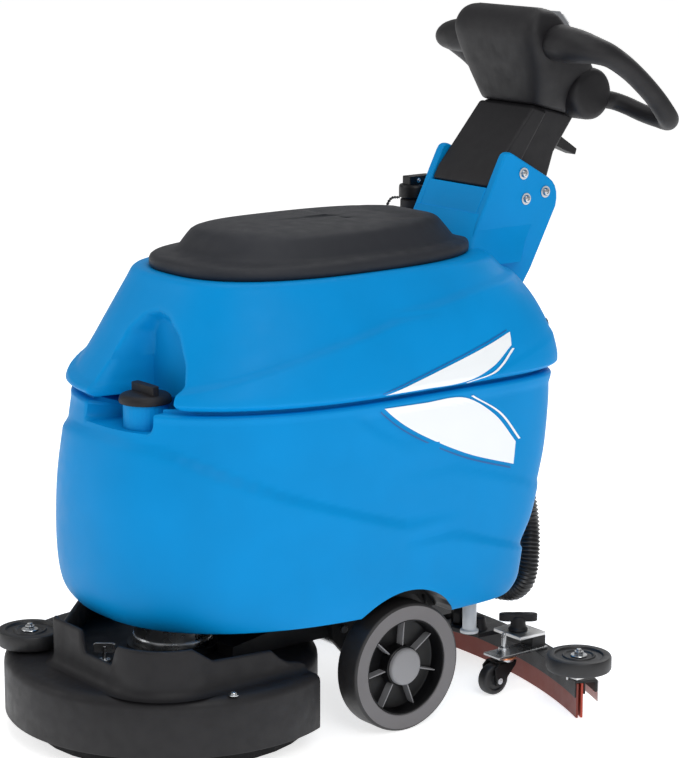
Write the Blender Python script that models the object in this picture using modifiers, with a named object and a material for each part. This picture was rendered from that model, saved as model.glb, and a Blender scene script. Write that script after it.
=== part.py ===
"""Walk-behind wet and dry floor scrubber.

The machine stands on its wheels, brush and squeegee, with its front towards -Y and its left side towards +X.
Everything is drawn in a frame whose Y is zero at the transport axle, and one root empty moves it so that the
origin lies under the middle of the whole machine.
"""
import math

import bmesh
import bpy
from mathutils import Matrix, Vector

# Driving dimensions, in metres
AXLE_Y = -0.0455
GAP = 0.0003
WHEEL_RADIUS = 0.100
WHEEL_WIDTH = 0.046
WHEEL_X = 0.231
RIM_RADIUS = 0.074
AXLE_RADIUS = 0.010

TANK_BOTTOM = 0.190
TANK_TAIL_BOTTOM = 0.165
TANK_TAIL_Y = 0.085
SEAM_LOW = 0.517
SEAM_HIGH = 0.523
RIM_Z = 0.694
PORT_SEAT_Z = 0.700
WELL_FLOOR = 0.235
NOSE_POWER = 2.35
TAIL_POWER = 7.0
RING_POINTS = 36

DECK_Y = -0.2565
DECK_RADIUS = 0.2566
GUARD_RADIUS = 0.2225
DECK_CUT = 0.1065
DECK_LOW = 0.030
DECK_TOP = 0.120
WALL_TOP = 0.190
BRUSH_RADIUS = 0.212
DECK_PIVOT = Vector((0, -0.030, 0.137))

BLADE_ARC_Y = -0.606
FRONT_BLADE_ARC = 0.925
REAR_BLADE_ARC = 0.9325
CARRIER_ARC = 0.9585
STRAP_ARC = 0.9594
STRAP_THICKNESS = 0.0020
HAND_SIDE = Vector((0.603, 0.798, 0))
BLADE_THICKNESS = 0.0035
BLADE_HALF_ANGLE = math.radians(23.6)
SQUEEGEE_PIVOT = Vector((0, 0.150, 0.125))
CASTER_X = 0.205
CASTER_Y = 0.238
CASTER_TRAIL = 0.022
CASTER_RADIUS = 0.025
ROLLER_RADIUS = 0.050
ROLLER_HEIGHT = 0.025
BUMPER_AT = Vector((-0.131, -0.430, 0.123))
END_ROLLER_AT = Vector((0.385, 0.231, 0.086))

LEDGE_Z = 0.487
CAP_AT = Vector((0.058, -0.338, 0.523))
TANK_PIVOT = Vector((0, 0.345, 0.520))
LID_PIVOT = Vector((0, 0.2565, 0.7035))
NECK_HALF = 0.0675
PANEL_TOP = Vector((0, 0.432, 1.058))
PANEL_LOW = Vector((0, 0.522, 0.958))
LEVER_PIVOT = Vector((0, 0.497, 0.845))
HINGE_X = -0.050

BLUE = ("tank_blue", (0.0, 0.24, 0.62), 0.35, 0.0)
BLACK = ("black_plastic", (0.03, 0.03, 0.035), 0.5, 0.0)
DARK_STEEL = ("dark_steel", (0.06, 0.06, 0.065), 0.45, 0.6)
STEEL = ("bright_steel", (0.6, 0.6, 0.62), 0.3, 1.0)
ALUMINIUM = ("aluminium", (0.7, 0.7, 0.72), 0.35, 1.0)
TYRE_GREY = ("tyre_grey", (0.13, 0.13, 0.135), 0.6, 0.0)
HUB_GREY = ("hub_grey", (0.25, 0.25, 0.26), 0.5, 0.0)
RED_RUBBER = ("red_rubber", (0.35, 0.05, 0.02), 0.6, 0.0)
BLACK_RUBBER = ("black_rubber", (0.02, 0.02, 0.022), 0.7, 0.0)
BRISTLE = ("bristle", (0.05, 0.08, 0.2), 0.8, 0.0)
GREEN = ("button_green", (0.02, 0.3, 0.08), 0.4, 0.0)


def start_scene():
    """Empty the scene and make the two collections and the root."""
    for old in list(bpy.data.objects):
        bpy.data.objects.remove(old, do_unlink=True)
    made = []
    for title in ("floor_scrubber", "cutters"):
        group = bpy.data.collections.new(title)
        bpy.context.scene.collection.children.link(group)
        made.append(group)
    root = bpy.data.objects.new("machine_root", None)
    root.location = (0, AXLE_Y, 0)
    made[0].objects.link(root)
    return made[0], made[1], root


PARTS, CUTTERS, ROOT = start_scene()


def material(finish):
    """One Principled material for one object."""
    title, colour, roughness, metallic = finish
    made = bpy.data.materials.new(title)
    made.use_nodes = True
    shader = made.node_tree.nodes["Principled BSDF"]
    shader.inputs["Base Color"].default_value = (*colour, 1)
    shader.inputs["Roughness"].default_value = roughness
    shader.inputs["Metallic"].default_value = metallic
    return made


def place(name, data, finish, pivot=(0, 0, 0), smooth=35):
    """Link an object under the root, with its origin at pivot; a cutter has no finish."""
    pivot = Vector(pivot)
    data.transform(Matrix.Translation(-pivot))
    obj = bpy.data.objects.new(name, data)
    obj.location = pivot
    obj.parent = ROOT
    if finish is None:
        CUTTERS.objects.link(obj)
        obj.hide_render = True
        obj.display_type = "WIRE"
        return obj
    PARTS.objects.link(obj)
    data.materials.append(material(finish))
    if smooth and isinstance(data, bpy.types.Mesh):
        data.shade_smooth()
        data.set_sharp_from_angle(angle=math.radians(smooth))
    return obj


def to_mesh(bm, name):
    """Turn a bmesh into mesh data with its faces pointing out."""
    bmesh.ops.recalc_face_normals(bm, faces=bm.faces)
    data = bpy.data.meshes.new(name)
    bm.to_mesh(data)
    bm.free()
    return data


def box(name, low, high, finish=None, pivot=(0, 0, 0)):
    """A box between two corners."""
    low, high = Vector(low), Vector(high)
    bm = bmesh.new()
    size = Matrix.Diagonal((*(high - low), 1))
    bmesh.ops.create_cube(bm, size=1, matrix=Matrix.Translation((low + high) / 2) @ size)
    return place(name, to_mesh(bm, name), finish, pivot, smooth=0)


def rod(name, start, end, radius, finish=None, pivot=(0, 0, 0), sides=24):
    """A round bar between two points."""
    start, end = Vector(start), Vector(end)
    turn = (end - start).to_track_quat("Z", "Y").to_matrix().to_4x4()
    bm = bmesh.new()
    bmesh.ops.create_cone(bm, cap_ends=True, segments=sides, radius1=radius, radius2=radius,
                          depth=(end - start).length, matrix=Matrix.Translation((start + end) / 2) @ turn)
    return place(name, to_mesh(bm, name), finish, pivot)


def prism(name, outline, axis, low, high, finish=None, pivot=(0, 0, 0)):
    """A flat outline swept along X, Y or Z from low to high."""
    order = {"x": lambda a, b, t: (t, a, b), "y": lambda a, b, t: (a, t, b),
             "z": lambda a, b, t: (a, b, t)}[axis]
    bm = bmesh.new()
    face = bm.faces.new([bm.verts.new(order(a, b, low)) for a, b in outline])
    swept = bmesh.ops.extrude_face_region(bm, geom=[face])
    moved = [v for v in swept["geom"] if isinstance(v, bmesh.types.BMVert)]
    bmesh.ops.translate(bm, verts=moved, vec=order(0, 0, high - low))
    return place(name, to_mesh(bm, name), finish, pivot)


def loft(name, rings, finish=None, pivot=(0, 0, 0), smooth=40):
    """A closed skin over rings of equal count, capped at the first and the last."""
    bm = bmesh.new()
    rows = [[bm.verts.new(p) for p in ring] for ring in rings]
    for lower, upper in zip(rows, rows[1:]):
        for i in range(len(lower)):
            j = (i + 1) % len(lower)
            bm.faces.new((lower[i], lower[j], upper[j], upper[i]))
    bm.faces.new(rows[0])
    bm.faces.new(rows[-1])
    return place(name, to_mesh(bm, name), finish, pivot, smooth)


def turned(name, profile, centre, axis="z", finish=None, steps=32, pivot=None):
    """A profile of (radius, height) turned about an axis through centre."""
    bm = bmesh.new()
    corners = [bm.verts.new((r, 0, z)) for r, z in profile]
    for a, b in zip(corners, corners[1:]):
        bm.edges.new((a, b))
    if profile[0][0] > 0:
        bm.edges.new((corners[-1], corners[0]))
    data = bpy.data.meshes.new(name)
    bm.to_mesh(data)
    bm.free()
    obj = place(name, data, finish, smooth=0)
    obj.location = centre
    obj.rotation_euler = {"z": (0, 0, 0), "x": (0, math.pi / 2, 0), "-x": (0, -math.pi / 2, 0)}[axis]
    screw = obj.modifiers.new("turn", "SCREW")
    screw.steps = screw.render_steps = steps
    screw.use_merge_vertices = True
    screw.merge_threshold = 0.0001
    screw.use_smooth_shade = True
    return obj


def tube(name, points, radius, finish, sides=2):
    """A round tube through points, with filled ends."""
    path = [Vector(p) for p in points]
    curve = bpy.data.curves.new(name, "CURVE")
    curve.dimensions = "3D"
    curve.bevel_depth = radius
    curve.bevel_resolution = sides
    curve.use_fill_caps = True
    spline = curve.splines.new("POLY")
    spline.points.add(len(path) - 1)
    for point, at in zip(spline.points, path):
        point.co = (*at, 1)
    return place(name, curve, finish)


def boolean(obj, tool, operation):
    """Add an exact Boolean with a cutter."""
    step = obj.modifiers.new(tool.name, "BOOLEAN")
    step.operation = operation
    step.solver = "EXACT"
    step.object = tool


def cut(obj, *tools):
    for tool in tools:
        boolean(obj, tool, "DIFFERENCE")


def join(obj, *tools):
    for tool in tools:
        boolean(obj, tool, "UNION")


def arc(centre, radius, start, end, steps):
    """Points on an arc, angles in degrees."""
    angles = [math.radians(start + (end - start) * k / steps) for k in range(steps + 1)]
    return [(centre[0] + radius * math.cos(a), centre[1] + radius * math.sin(a)) for a in angles]


def body_ring(front, rear, half, z, inset=0.0, nose=NOSE_POWER, tail=TAIL_POWER, back=None):
    """A tank's plan at one height: a round nose and a squarer tail about the axle line."""
    ring = []
    for k in range(RING_POINTS):
        angle = 2 * math.pi * (k + 0.5) / RING_POINTS
        c, s = math.cos(angle), math.sin(angle)
        power = nose if s < 0 else tail
        reach = (front if s < 0 else rear) - inset
        x = (half - inset) * math.copysign(abs(c) ** (2 / power), c)
        y = reach * math.copysign(abs(s) ** (2 / power), s)
        if back is not None:
            y = min(y, back)
        ring.append((x, y, z))
    return ring


def well_ring(front, rear, half, z):
    """A nearly square inner plan."""
    return body_ring(front, rear, half, z, nose=14, tail=14)


def make_solution_tank():
    """Lower tank: battery well inside, filler pocket in front, arches over wheels and motor."""
    rings = [well_ring(0.238, 0.250, 0.197, WELL_FLOOR), well_ring(0.238, 0.250, 0.197, SEAM_HIGH - 0.0005),
             body_ring(0.384, 0.336, 0.250, SEAM_HIGH - 0.0005, inset=0.012),
             body_ring(0.384, 0.336, 0.250, SEAM_LOW, inset=0.010),
             body_ring(0.384, 0.336, 0.250, SEAM_LOW, inset=0.003), body_ring(0.385, 0.336, 0.251, 0.513),
             body_ring(0.393, 0.336, 0.253, 0.470), body_ring(0.406, 0.328, 0.254, 0.400),
             body_ring(0.411, 0.314, 0.254, 0.345), body_ring(0.412, 0.298, 0.253, 0.290),
             body_ring(0.408, 0.272, 0.252, 0.245), body_ring(0.398, 0.267, 0.250, 0.215),
             body_ring(0.376, 0.265, 0.243, 0.190), body_ring(0.346, 0.255, 0.232, TANK_TAIL_BOTTOM)]
    tank = loft("solution_tank", rings, BLUE)
    front_space = box("cut_tank_front", (-0.4, -0.5, 0.1), (0.4, TANK_TAIL_Y, TANK_BOTTOM))
    recess = rod("cut_motor_recess", (0, DECK_Y, 0.15), (0, DECK_Y, 0.222), 0.078, sides=32)
    ledge = box("cut_filler_ledge", (-0.010, -0.45, LEDGE_Z), (0.097, -0.262, 0.56))
    pocket = box("cut_filler_pocket", (CAP_AT.x - 0.0265, CAP_AT.y - 0.0265, 0.26),
                 (CAP_AT.x + 0.0265, CAP_AT.y + 0.0265, 0.56))
    cut(tank, front_space, recess, ledge, pocket)
    for side in (-1, 1):
        arch = rod(f"cut_arch_{side}", (side * 0.195, 0, 0.1), (side * 0.30, 0, 0.1), 0.122, sides=40)
        cut(tank, arch)


def make_filler():
    """Filler neck on the ledge, and its cap with a grip bar."""
    top = CAP_AT.z - LEDGE_Z - 2 * GAP
    neck = [(0.028, top), (0.033, top), (0.033, 0), (0.028, 0)]
    turned("filler_neck", neck, (CAP_AT.x, CAP_AT.y, LEDGE_Z + GAP), finish=BLUE)
    disc = [(0, 0.014), (0.035, 0.014), (0.039, 0.011), (0.039, 0), (0, 0)]
    cap = turned("filler_cap", disc, CAP_AT, finish=BLACK)
    corner = Vector((0.028, 0.006, 0))
    base = CAP_AT + Vector((0, 0, 0.012))
    join(cap, box("add_cap_grip", base - corner, base + corner + Vector((0, 0, 0.016))))


def make_batteries():
    """Two block batteries standing side by side in the well."""
    for side, sign in (("left", 1), ("right", -1)):
        low, high = sorted((sign * 0.006, sign * 0.178))
        block = box(f"battery_{side}", (low, -0.225, WELL_FLOOR + GAP), (high, 0.105, 0.445), BLACK)
        for y in (-0.19, 0.07):
            foot = Vector((sign * 0.035, y, 0.44))
            join(block, rod(f"add_post_{side}_{y}", foot, foot + Vector((0, 0, 0.022)), 0.009, sides=12))


def make_vacuum_motor():
    body = [(0, 0.118), (0.045, 0.118), (0.060, 0.095), (0.060, 0), (0, 0)]
    turned("vacuum_motor", body, (0, 0.180, WELL_FLOOR + GAP), finish=DARK_STEEL, steps=28)


def make_chassis():
    """Stepped steel plate under the tank, with lugs for the axle and the two lifting arms."""
    step = [(-0.120, TANK_BOTTOM - GAP), (TANK_TAIL_Y - GAP, TANK_BOTTOM - GAP),
            (TANK_TAIL_Y - GAP, TANK_TAIL_BOTTOM - GAP), (0.235, TANK_TAIL_BOTTOM - GAP),
            (0.235, 0.153), (0.073, 0.153), (0.073, 0.178), (-0.120, 0.178)]
    frame = prism("chassis_frame", step, "x", -0.150, 0.150, DARK_STEEL)
    lug = [(-0.055, 0.180), (0.035, 0.180), (0.020, 0.085), (-0.018, 0.085), (-0.050, 0.122)]
    rear_lug = [(0.130, 0.155), (0.172, 0.155), (0.162, 0.113), (0.138, 0.113)]
    for sign in (-1, 1):
        low, high = sorted((sign * 0.125, sign * 0.135))
        join(frame, prism(f"add_lug_{sign}", lug, "x", low, high))
        low, high = sorted((sign * 0.0300, sign * 0.0380))
        join(frame, prism(f"add_rear_lug_{sign}", rear_lug, "x", low, high))
    bores = ((0, WHEEL_RADIUS, AXLE_RADIUS), (*DECK_PIVOT.yz, 0.006), (*SQUEEGEE_PIVOT.yz, 0.005))
    for k, (y, z, radius) in enumerate(bores):
        cut(frame, rod(f"cut_bore_{k}", (-0.2, y, z), (0.2, y, z), radius + 0.0004))
    rod("axle", (-0.2445, 0, 0.1), (0.2445, 0, 0.1), AXLE_RADIUS, STEEL)
    rod("deck_pivot_pin", (-0.139, *DECK_PIVOT.yz), (0.139, *DECK_PIVOT.yz), 0.006, STEEL, sides=16)
    y, z = SQUEEGEE_PIVOT.yz
    rod("squeegee_pivot_pin", (-0.041, y, z), (0.041, y, z), 0.005, STEEL, sides=16)


def make_wheels():
    """Left and right wheel: tyre, dished rim and hub cap, each turned about the axle."""
    half = WHEEL_WIDTH / 2
    tyre = [(RIM_RADIUS + GAP, half), (0.094, half), (WHEEL_RADIUS, half - 0.006),
            (WHEEL_RADIUS, 0.006 - half), (0.094, -half), (RIM_RADIUS + GAP, -half)]
    rim = [(AXLE_RADIUS + 0.0005, 0.014), (0.028, 0.014), (0.030, -0.004), (0.062, -0.004), (0.067, 0.021),
           (RIM_RADIUS, 0.021), (RIM_RADIUS, -0.021), (0.067, -0.021), (0.062, -0.010), (0.029, -0.010),
           (0.027, -0.020), (AXLE_RADIUS + 0.0005, -0.020)]
    cap = [(0, 0.0225), (0.021, 0.0225), (0.028, 0.018), (0.0285, 0.0143), (0, 0.0143)]
    for side, sign, axis in (("left", 1, "x"), ("right", -1, "-x")):
        at = (sign * WHEEL_X, 0, WHEEL_RADIUS)
        turned(f"wheel_tyre_{side}", tyre, at, axis, TYRE_GREY, steps=40)
        turned(f"wheel_rim_{side}", rim, at, axis, BLACK, steps=24)
        turned(f"wheel_cap_{side}", cap, at, axis, HUB_GREY, steps=16)


def deck_ring(inset, z):
    """Deck plan: a wide front arc, straight returns, and a narrower guard arc round the back of the brush."""
    outer, inner, cut_y = DECK_RADIUS - inset, GUARD_RADIUS - inset, DECK_CUT - inset
    wide = math.degrees(math.asin(cut_y / outer))
    tight = math.degrees(math.asin(cut_y / inner))
    front = arc((0, DECK_Y), outer, 180 - wide, 360 + wide, 26)
    back = arc((0, DECK_Y), inner, tight, 180 - tight, 10)
    return [(x, y, z) for x, y in front + back]


def roller_stud(title, at):
    """A boss under a roller and the stud it turns on."""
    up = Vector((0, 0, 1))
    boss = rod(f"add_boss_{title}", at - 0.008 * up, at - 0.001 * up, 0.014)
    return boss, rod(f"add_stud_{title}", at - 0.008 * up, at + 0.030 * up, 0.004, sides=12)


def make_deck():
    """Deck housing open below, with a raised wall round the motor, and its lift arm."""
    shape = [(0.030, DECK_TOP), (0.016, DECK_TOP - 0.001), (0.006, DECK_TOP - 0.006), (0, DECK_TOP - 0.015),
             (0, DECK_LOW), (0.0055, DECK_LOW), (0.0055, 0.106), (0.012, 0.113)]
    rings = [deck_ring(inset, z) for inset, z in shape]
    housing = loft("deck_housing", rings, BLACK, DECK_PIVOT)
    outer = [(0.215, -0.165), (0.215, -0.355)] + arc((0.125, -0.355), 0.090, 0, -90, 8)[1:] + [
        (-0.040, -0.445), (-0.190, -0.300), (-0.205, -0.165)]
    inner = [(-0.197, -0.165), (-0.182, -0.2967), (-0.0367, -0.437)]
    inner += arc((0.125, -0.355), 0.082, -90, 0, 8)[:-1] + [(0.207, -0.355), (0.207, -0.165)]
    wall = prism("add_wall", outer + inner, "z", DECK_TOP - 0.004, WALL_TOP)
    join(housing, wall, *roller_stud("bumper", BUMPER_AT))
    notch = box("cut_wall_notch", (0, -0.47, 0.152), (0.112, -0.37, 0.2))
    drop = [(-0.355, 0.195), (-0.328, 0.165), (-0.224, 0.160), (-0.190, 0.137), (-0.165, 0.128),
            (-0.10, 0.128), (-0.10, 0.21), (-0.355, 0.21)]
    far_side = box("cut_far_wall", (-0.25, -0.435, 0.164), (-0.055, -0.15, 0.21))
    cut(housing, notch, far_side, prism("cut_wall_drop", drop, "x", -0.25, 0.25),
        rod("cut_gearbox_hole", (0, DECK_Y, 0.1), (0, DECK_Y, 0.13), 0.0555, sides=32))

    arm_side = [(-0.225, 0.1215), (-0.034, 0.1215), (-0.018, 0.129), (-0.018, 0.145), (-0.034, 0.1525),
                (-0.150, 0.1525), (-0.225, 0.140)]
    arm = prism("deck_arm", arm_side, "x", 0.075, 0.115, DARK_STEEL, DECK_PIVOT)
    join(arm, prism("add_far_arm", arm_side, "x", -0.115, -0.075),
         box("add_arm_bar", (-0.080, -0.105, 0.130), (0.080, -0.085, 0.150)))
    cut(arm, rod("cut_arm_bore", (-0.2, *DECK_PIVOT.yz), (0.2, *DECK_PIVOT.yz), 0.0064))


def make_brush_drive():
    """Gearbox through the deck plate, motor on top, and the brush below."""
    gearbox = [(0, 0.128), (0.070, 0.128), (0.070, 0.1203), (0.054, 0.1203), (0.054, 0.075), (0, 0.075)]
    motor = [(0, 0.183), (0.046, 0.183), (0.058, 0.176), (0.058, 0.1283), (0, 0.1283)]
    block = [(0, 0.0747), (0.040, 0.0747), (0.042, 0.066), (0.200, 0.066), (0.205, 0.060), (0.205, 0.046),
             (0, 0.046)]
    bristles = [(0.060, 0.0457), (0.202, 0.0457), (BRUSH_RADIUS, 0), (0.055, 0)]
    at = (0, DECK_Y, 0)
    turned("brush_gearbox", gearbox, at, finish=DARK_STEEL, steps=28)
    turned("brush_motor", motor, at, finish=STEEL, steps=28)
    turned("brush_block", block, at, finish=BLACK, steps=32)
    turned("brush_bristles", bristles, at, finish=BRISTLE, steps=32)


def hand_bar(name, at, half_length, half_width, low, high):
    """A flat bar across a hand screw, turned a little off the machine's sides."""
    along = HAND_SIDE * half_length
    across = Vector((-HAND_SIDE.y, HAND_SIDE.x, 0)) * half_width
    corners = [at + along + across, at - along + across, at - along - across, at + along - across]
    return prism(name, [(p.x, p.y) for p in corners], "z", at.z + low, at.z + high)


def make_deck_fittings():
    """Wing bolt inside the wall and the bumper roller on its stud."""
    base = Vector((0.004, -0.382, DECK_TOP + GAP))
    bolt = rod("deck_wing_bolt", base, base + Vector((0, 0, 0.022)), 0.004, STEEL, base, sides=12)
    join(bolt, hand_bar("add_wings", base, 0.017, 0.002, 0.016, 0.030))
    roller = [(0.0045, ROLLER_HEIGHT), (0.046, ROLLER_HEIGHT), (ROLLER_RADIUS, ROLLER_HEIGHT - 0.004),
              (ROLLER_RADIUS, 0.004), (0.046, 0), (0.0045, 0)]
    turned("bumper_roller", roller, BUMPER_AT, finish=BLACK_RUBBER, steps=24)
    for side, sign in (("left", 1), ("right", -1)):
        at = Vector((sign * END_ROLLER_AT.x, END_ROLLER_AT.y, END_ROLLER_AT.z))
        turned(f"end_roller_{side}", roller, at, finish=BLACK_RUBBER, steps=24)


def arc_band(name, inner, outer, low, high, finish, pivot):
    """A strip of a tall ring about the squeegee's arc centre."""
    turn = math.degrees(BLADE_HALF_ANGLE)
    centre = (0, BLADE_ARC_Y)
    outline = arc(centre, outer, 90 - turn, 90 + turn, 16) + arc(centre, inner, 90 + turn, 90 - turn, 16)
    return prism(name, outline, "z", low, high, finish, pivot)


def make_squeegee():
    """Curved body with two blades, a strap, brackets, spigot and the arm that lifts it."""
    pivot = SQUEEGEE_PIVOT
    front_back = FRONT_BLADE_ARC + BLADE_THICKNESS
    rear_back = REAR_BLADE_ARC + BLADE_THICKNESS
    body = arc_band("squeegee_body", FRONT_BLADE_ARC - 0.002, CARRIER_ARC, 0.0565, 0.060, DARK_STEEL, pivot)
    join(body, arc_band("add_carrier", rear_back + 0.0005, CARRIER_ARC, 0.040, 0.058, None, pivot))
    arc_band("front_blade", FRONT_BLADE_ARC, front_back, 0, 0.056, RED_RUBBER, pivot)
    arc_band("rear_blade", REAR_BLADE_ARC, rear_back, 0, 0.056, RED_RUBBER, pivot)
    arc_band("blade_strap", STRAP_ARC, STRAP_ARC + STRAP_THICKNESS, 0.024, 0.058, ALUMINIUM, pivot)
    for sign in (-1, 1):
        low, high = sorted((sign * 0.150, sign * 0.215))
        join(body, box(f"add_pad_{sign}", (low, 0.264, 0.0585), (high, 0.322, 0.086)))
        low, high = sorted((sign * 0.188, sign * 0.222))
        join(body, box(f"add_caster_tab_{sign}", (low, 0.205, 0.0599), (high, 0.316, 0.0662)))
        low, high = sorted((sign * 0.345, sign * 0.400))
        join(body, box(f"add_end_tab_{sign}", (low, 0.212, 0.0585), (high, 0.270, 0.080)))
        at = Vector((sign * END_ROLLER_AT.x, END_ROLLER_AT.y, END_ROLLER_AT.z))
        join(body, *roller_stud(f"end_{sign}", at))
    join(body, box("add_mount", (-0.120, 0.248, 0.0585), (0.120, 0.340, 0.0675)))

    side = [(0.137, 0.119), (0.147, 0.112), (0.232, 0.072), (0.250, 0.0678), (0.300, 0.0678), (0.300, 0.076),
            (0.258, 0.076), (0.240, 0.081), (0.166, 0.129), (0.155, 0.1385), (0.143, 0.1385)]
    arm = prism("squeegee_arm", side, "x", -0.025, 0.025, DARK_STEEL, pivot)
    cut(arm, rod("cut_squeegee_bore", (-0.05, *pivot.yz), (0.05, *pivot.yz), 0.0054))

    knob = [(0, 0.022), (0.010, 0.022), (0.013, 0.004), (0.015, 0), (0, 0)]
    for side_name, sign in (("left", 1), ("right", -1)):
        at = Vector((sign * 0.182, 0.288, 0.0863))
        made = turned(f"squeegee_knob_{side_name}", knob, at, finish=BLACK, steps=16)
        join(made, hand_bar(f"add_knob_wings_{sign}", at, 0.030, 0.0040, 0.012, 0.027))
    turned("angle_knob", knob, (0.096, 0.280, 0.0678), finish=BLACK, steps=16)
    post = [(0, 0.055), (0.011, 0.055), (0.011, 0.049), (0.006, 0.047), (0.006, 0), (0, 0)]
    turned("stop_post", post, (0.100, 0.256, 0.0678), finish=STEEL, steps=16)


SPIGOT_PATH = [(0.054, 0.276, 0.0679), (0.054, 0.276, 0.086), (0.0555, 0.280, 0.103),
               (0.061, 0.290, 0.117), (0.0705, 0.3035, 0.1225)]
HOSE_LOW_PATH = [(0.0707, 0.3038, 0.1226), (0.079, 0.3155, 0.1274), (0.100, 0.327, 0.1265),
                 (0.122, 0.333, 0.131), (0.139, 0.337, 0.149), (0.145, 0.340, 0.178),
                 (0.143, 0.344, 0.212), (0.135, 0.349, 0.245),
                 (0.122, 0.354, 0.276), (0.106, 0.358, 0.302), (0.092, 0.361, 0.325), (0.084, 0.362, 0.345),
                 (0.084, 0.362, 0.3597)]
HOSE_HIGH_PATH = [(0.084, 0.362, 0.4053), (0.084, 0.362, 0.430), (0.085, 0.365, 0.460), (0.086, 0.366, 0.490),
                  (0.086, 0.366, 0.515), (0.086, 0.366, 0.5397)]
HOSE_RADIUS = 0.018


def make_hose():
    """Vacuum hose from the squeegee's spigot, by a coupling on the tank, to the recovery tank's inlet."""
    tube("suction_spigot", SPIGOT_PATH, 0.0150, BLACK)
    tube("vacuum_hose_low", HOSE_LOW_PATH, HOSE_RADIUS, BLACK_RUBBER)
    tube("vacuum_hose_high", HOSE_HIGH_PATH, HOSE_RADIUS, BLACK_RUBBER)
    coupling = rod("hose_coupling", (0.084, 0.362, 0.360), (0.084, 0.362, 0.405), 0.0210, BLACK)
    join(coupling, box("add_coupling_foot", (0.074, 0.3335, 0.368), (0.094, 0.350, 0.397)))
    inlet = box("vacuum_inlet", (0.062, 0.3395, 0.550), (0.110, 0.390, 0.568), BLACK)
    join(inlet, rod("add_inlet_cuff", (0.086, 0.366, 0.540), (0.086, 0.366, 0.560), 0.021))


def make_casters():
    """Fork on a vertical stem with a small wheel trailing it."""
    for side, sign in (("left", 1), ("right", -1)):
        at = Vector((sign * CASTER_X, CASTER_Y, 0.0597))
        wheel_y = CASTER_Y - CASTER_TRAIL
        low, high = at + Vector((-0.016, -0.020, -0.005)), at + Vector((0.016, 0.010, 0))
        fork = box(f"caster_fork_{side}", low, high, STEEL, at)
        leg = [(wheel_y - 0.006, 0.018), (wheel_y + 0.006, 0.018), (CASTER_Y + 0.008, 0.056),
               (CASTER_Y - 0.018, 0.056)]
        for step, x in (("a", -0.016), ("b", 0.0125)):
            join(fork, prism(f"add_leg_{side}_{step}", leg, "x", at.x + x, at.x + x + 0.0035))
        hub = Vector((at.x, wheel_y, CASTER_RADIUS))
        reach = Vector((0.014, 0, 0))
        join(fork, rod(f"add_pin_{side}", hub - reach, hub + reach, 0.0035, sides=12))
        wheel = [(0.0039, 0.010), (0.022, 0.010), (CASTER_RADIUS, 0.007), (CASTER_RADIUS, -0.007),
                 (0.022, -0.010), (0.0039, -0.010)]
        turned(f"caster_wheel_{side}", wheel, hub, "x", BLACK_RUBBER, steps=28)


def make_recovery_tank():
    """Upper tank: a cup under the lid, a scooped arch over the filler and the saddle that holds the neck."""
    rings = [body_ring(0.215, 0.235, 0.185, 0.547, nose=4),
             body_ring(0.222, 0.238, 0.172, 0.650, nose=3.4, tail=3.5),
             body_ring(0.250, 0.250, 0.153, RIM_Z, nose=2.85, tail=2.3, back=0.232),
             body_ring(0.274, 0.280, 0.178, RIM_Z, nose=2.85, tail=3.2),
             body_ring(0.281, 0.287, 0.187, RIM_Z - 0.006, nose=2.8, tail=4.0),
             body_ring(0.299, 0.303, 0.206, 0.664, tail=5), body_ring(0.328, 0.320, 0.230, 0.622, tail=6),
             body_ring(0.352, 0.330, 0.243, 0.582), body_ring(0.380, 0.338, 0.252, 0.550),
             body_ring(0.388, 0.338, 0.2545, 0.535), body_ring(0.384, 0.336, 0.252, SEAM_HIGH + 0.002),
             body_ring(0.380, 0.333, 0.249, SEAM_HIGH)]
    tank = loft("recovery_tank", rings, BLUE, TANK_PIVOT)
    saddle = [(0.262, 0.640), (0.262, 0.700), (0.315, 0.790), (0.341, 0.838), (0.442, 0.782), (0.447, 0.735),
              (0.391, 0.650), (0.330, 0.560), (0.300, 0.560)]
    join(tank, prism("add_saddle", saddle, "x", -0.083, 0.083),
         box("add_port_seat", (-0.155, 0.282, 0.600), (-0.095, 0.346, PORT_SEAT_Z)))
    slot = [(0.290, 0.792), (0.462, 0.712), (0.50, 0.80), (0.38, 0.90)]
    arch = [(-0.010, 0.500), (0.143, 0.500), (0.142, 0.530), (0.137, 0.559), (0.124, 0.586), (0.096, 0.626),
            (0.064, 0.650), (0.038, 0.656), (0.014, 0.647), (-0.004, 0.621), (-0.010, 0.575)]
    cut(tank, prism("cut_neck_slot", slot, "x", -NECK_HALF - GAP, NECK_HALF + GAP),
        prism("cut_arch", arch, "y", -0.45, -0.282))


def make_lid():
    """Domed lid, open below, hinged at its back edge."""
    def ring(inset, z):
        return body_ring(0.252, 0.275, 0.165, z, inset=inset, nose=2.6, tail=2.6, back=0.2545 - inset)
    shape = [(0.115, 0.0635), (0.064, 0.0600), (0.050, 0.0530), (0.032, 0.0245), (0.016, 0.0210),
             (0.001, 0.0175), (0, 0.0130), (0, 0.0005), (0.008, 0.0005), (0.034, 0.0190),
             (0.054, 0.0470), (0.068, 0.0540)]
    rings = [ring(inset, RIM_Z + lift) for inset, lift in shape]
    loft("tank_lid", rings, BLACK, LID_PIVOT)


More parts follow.
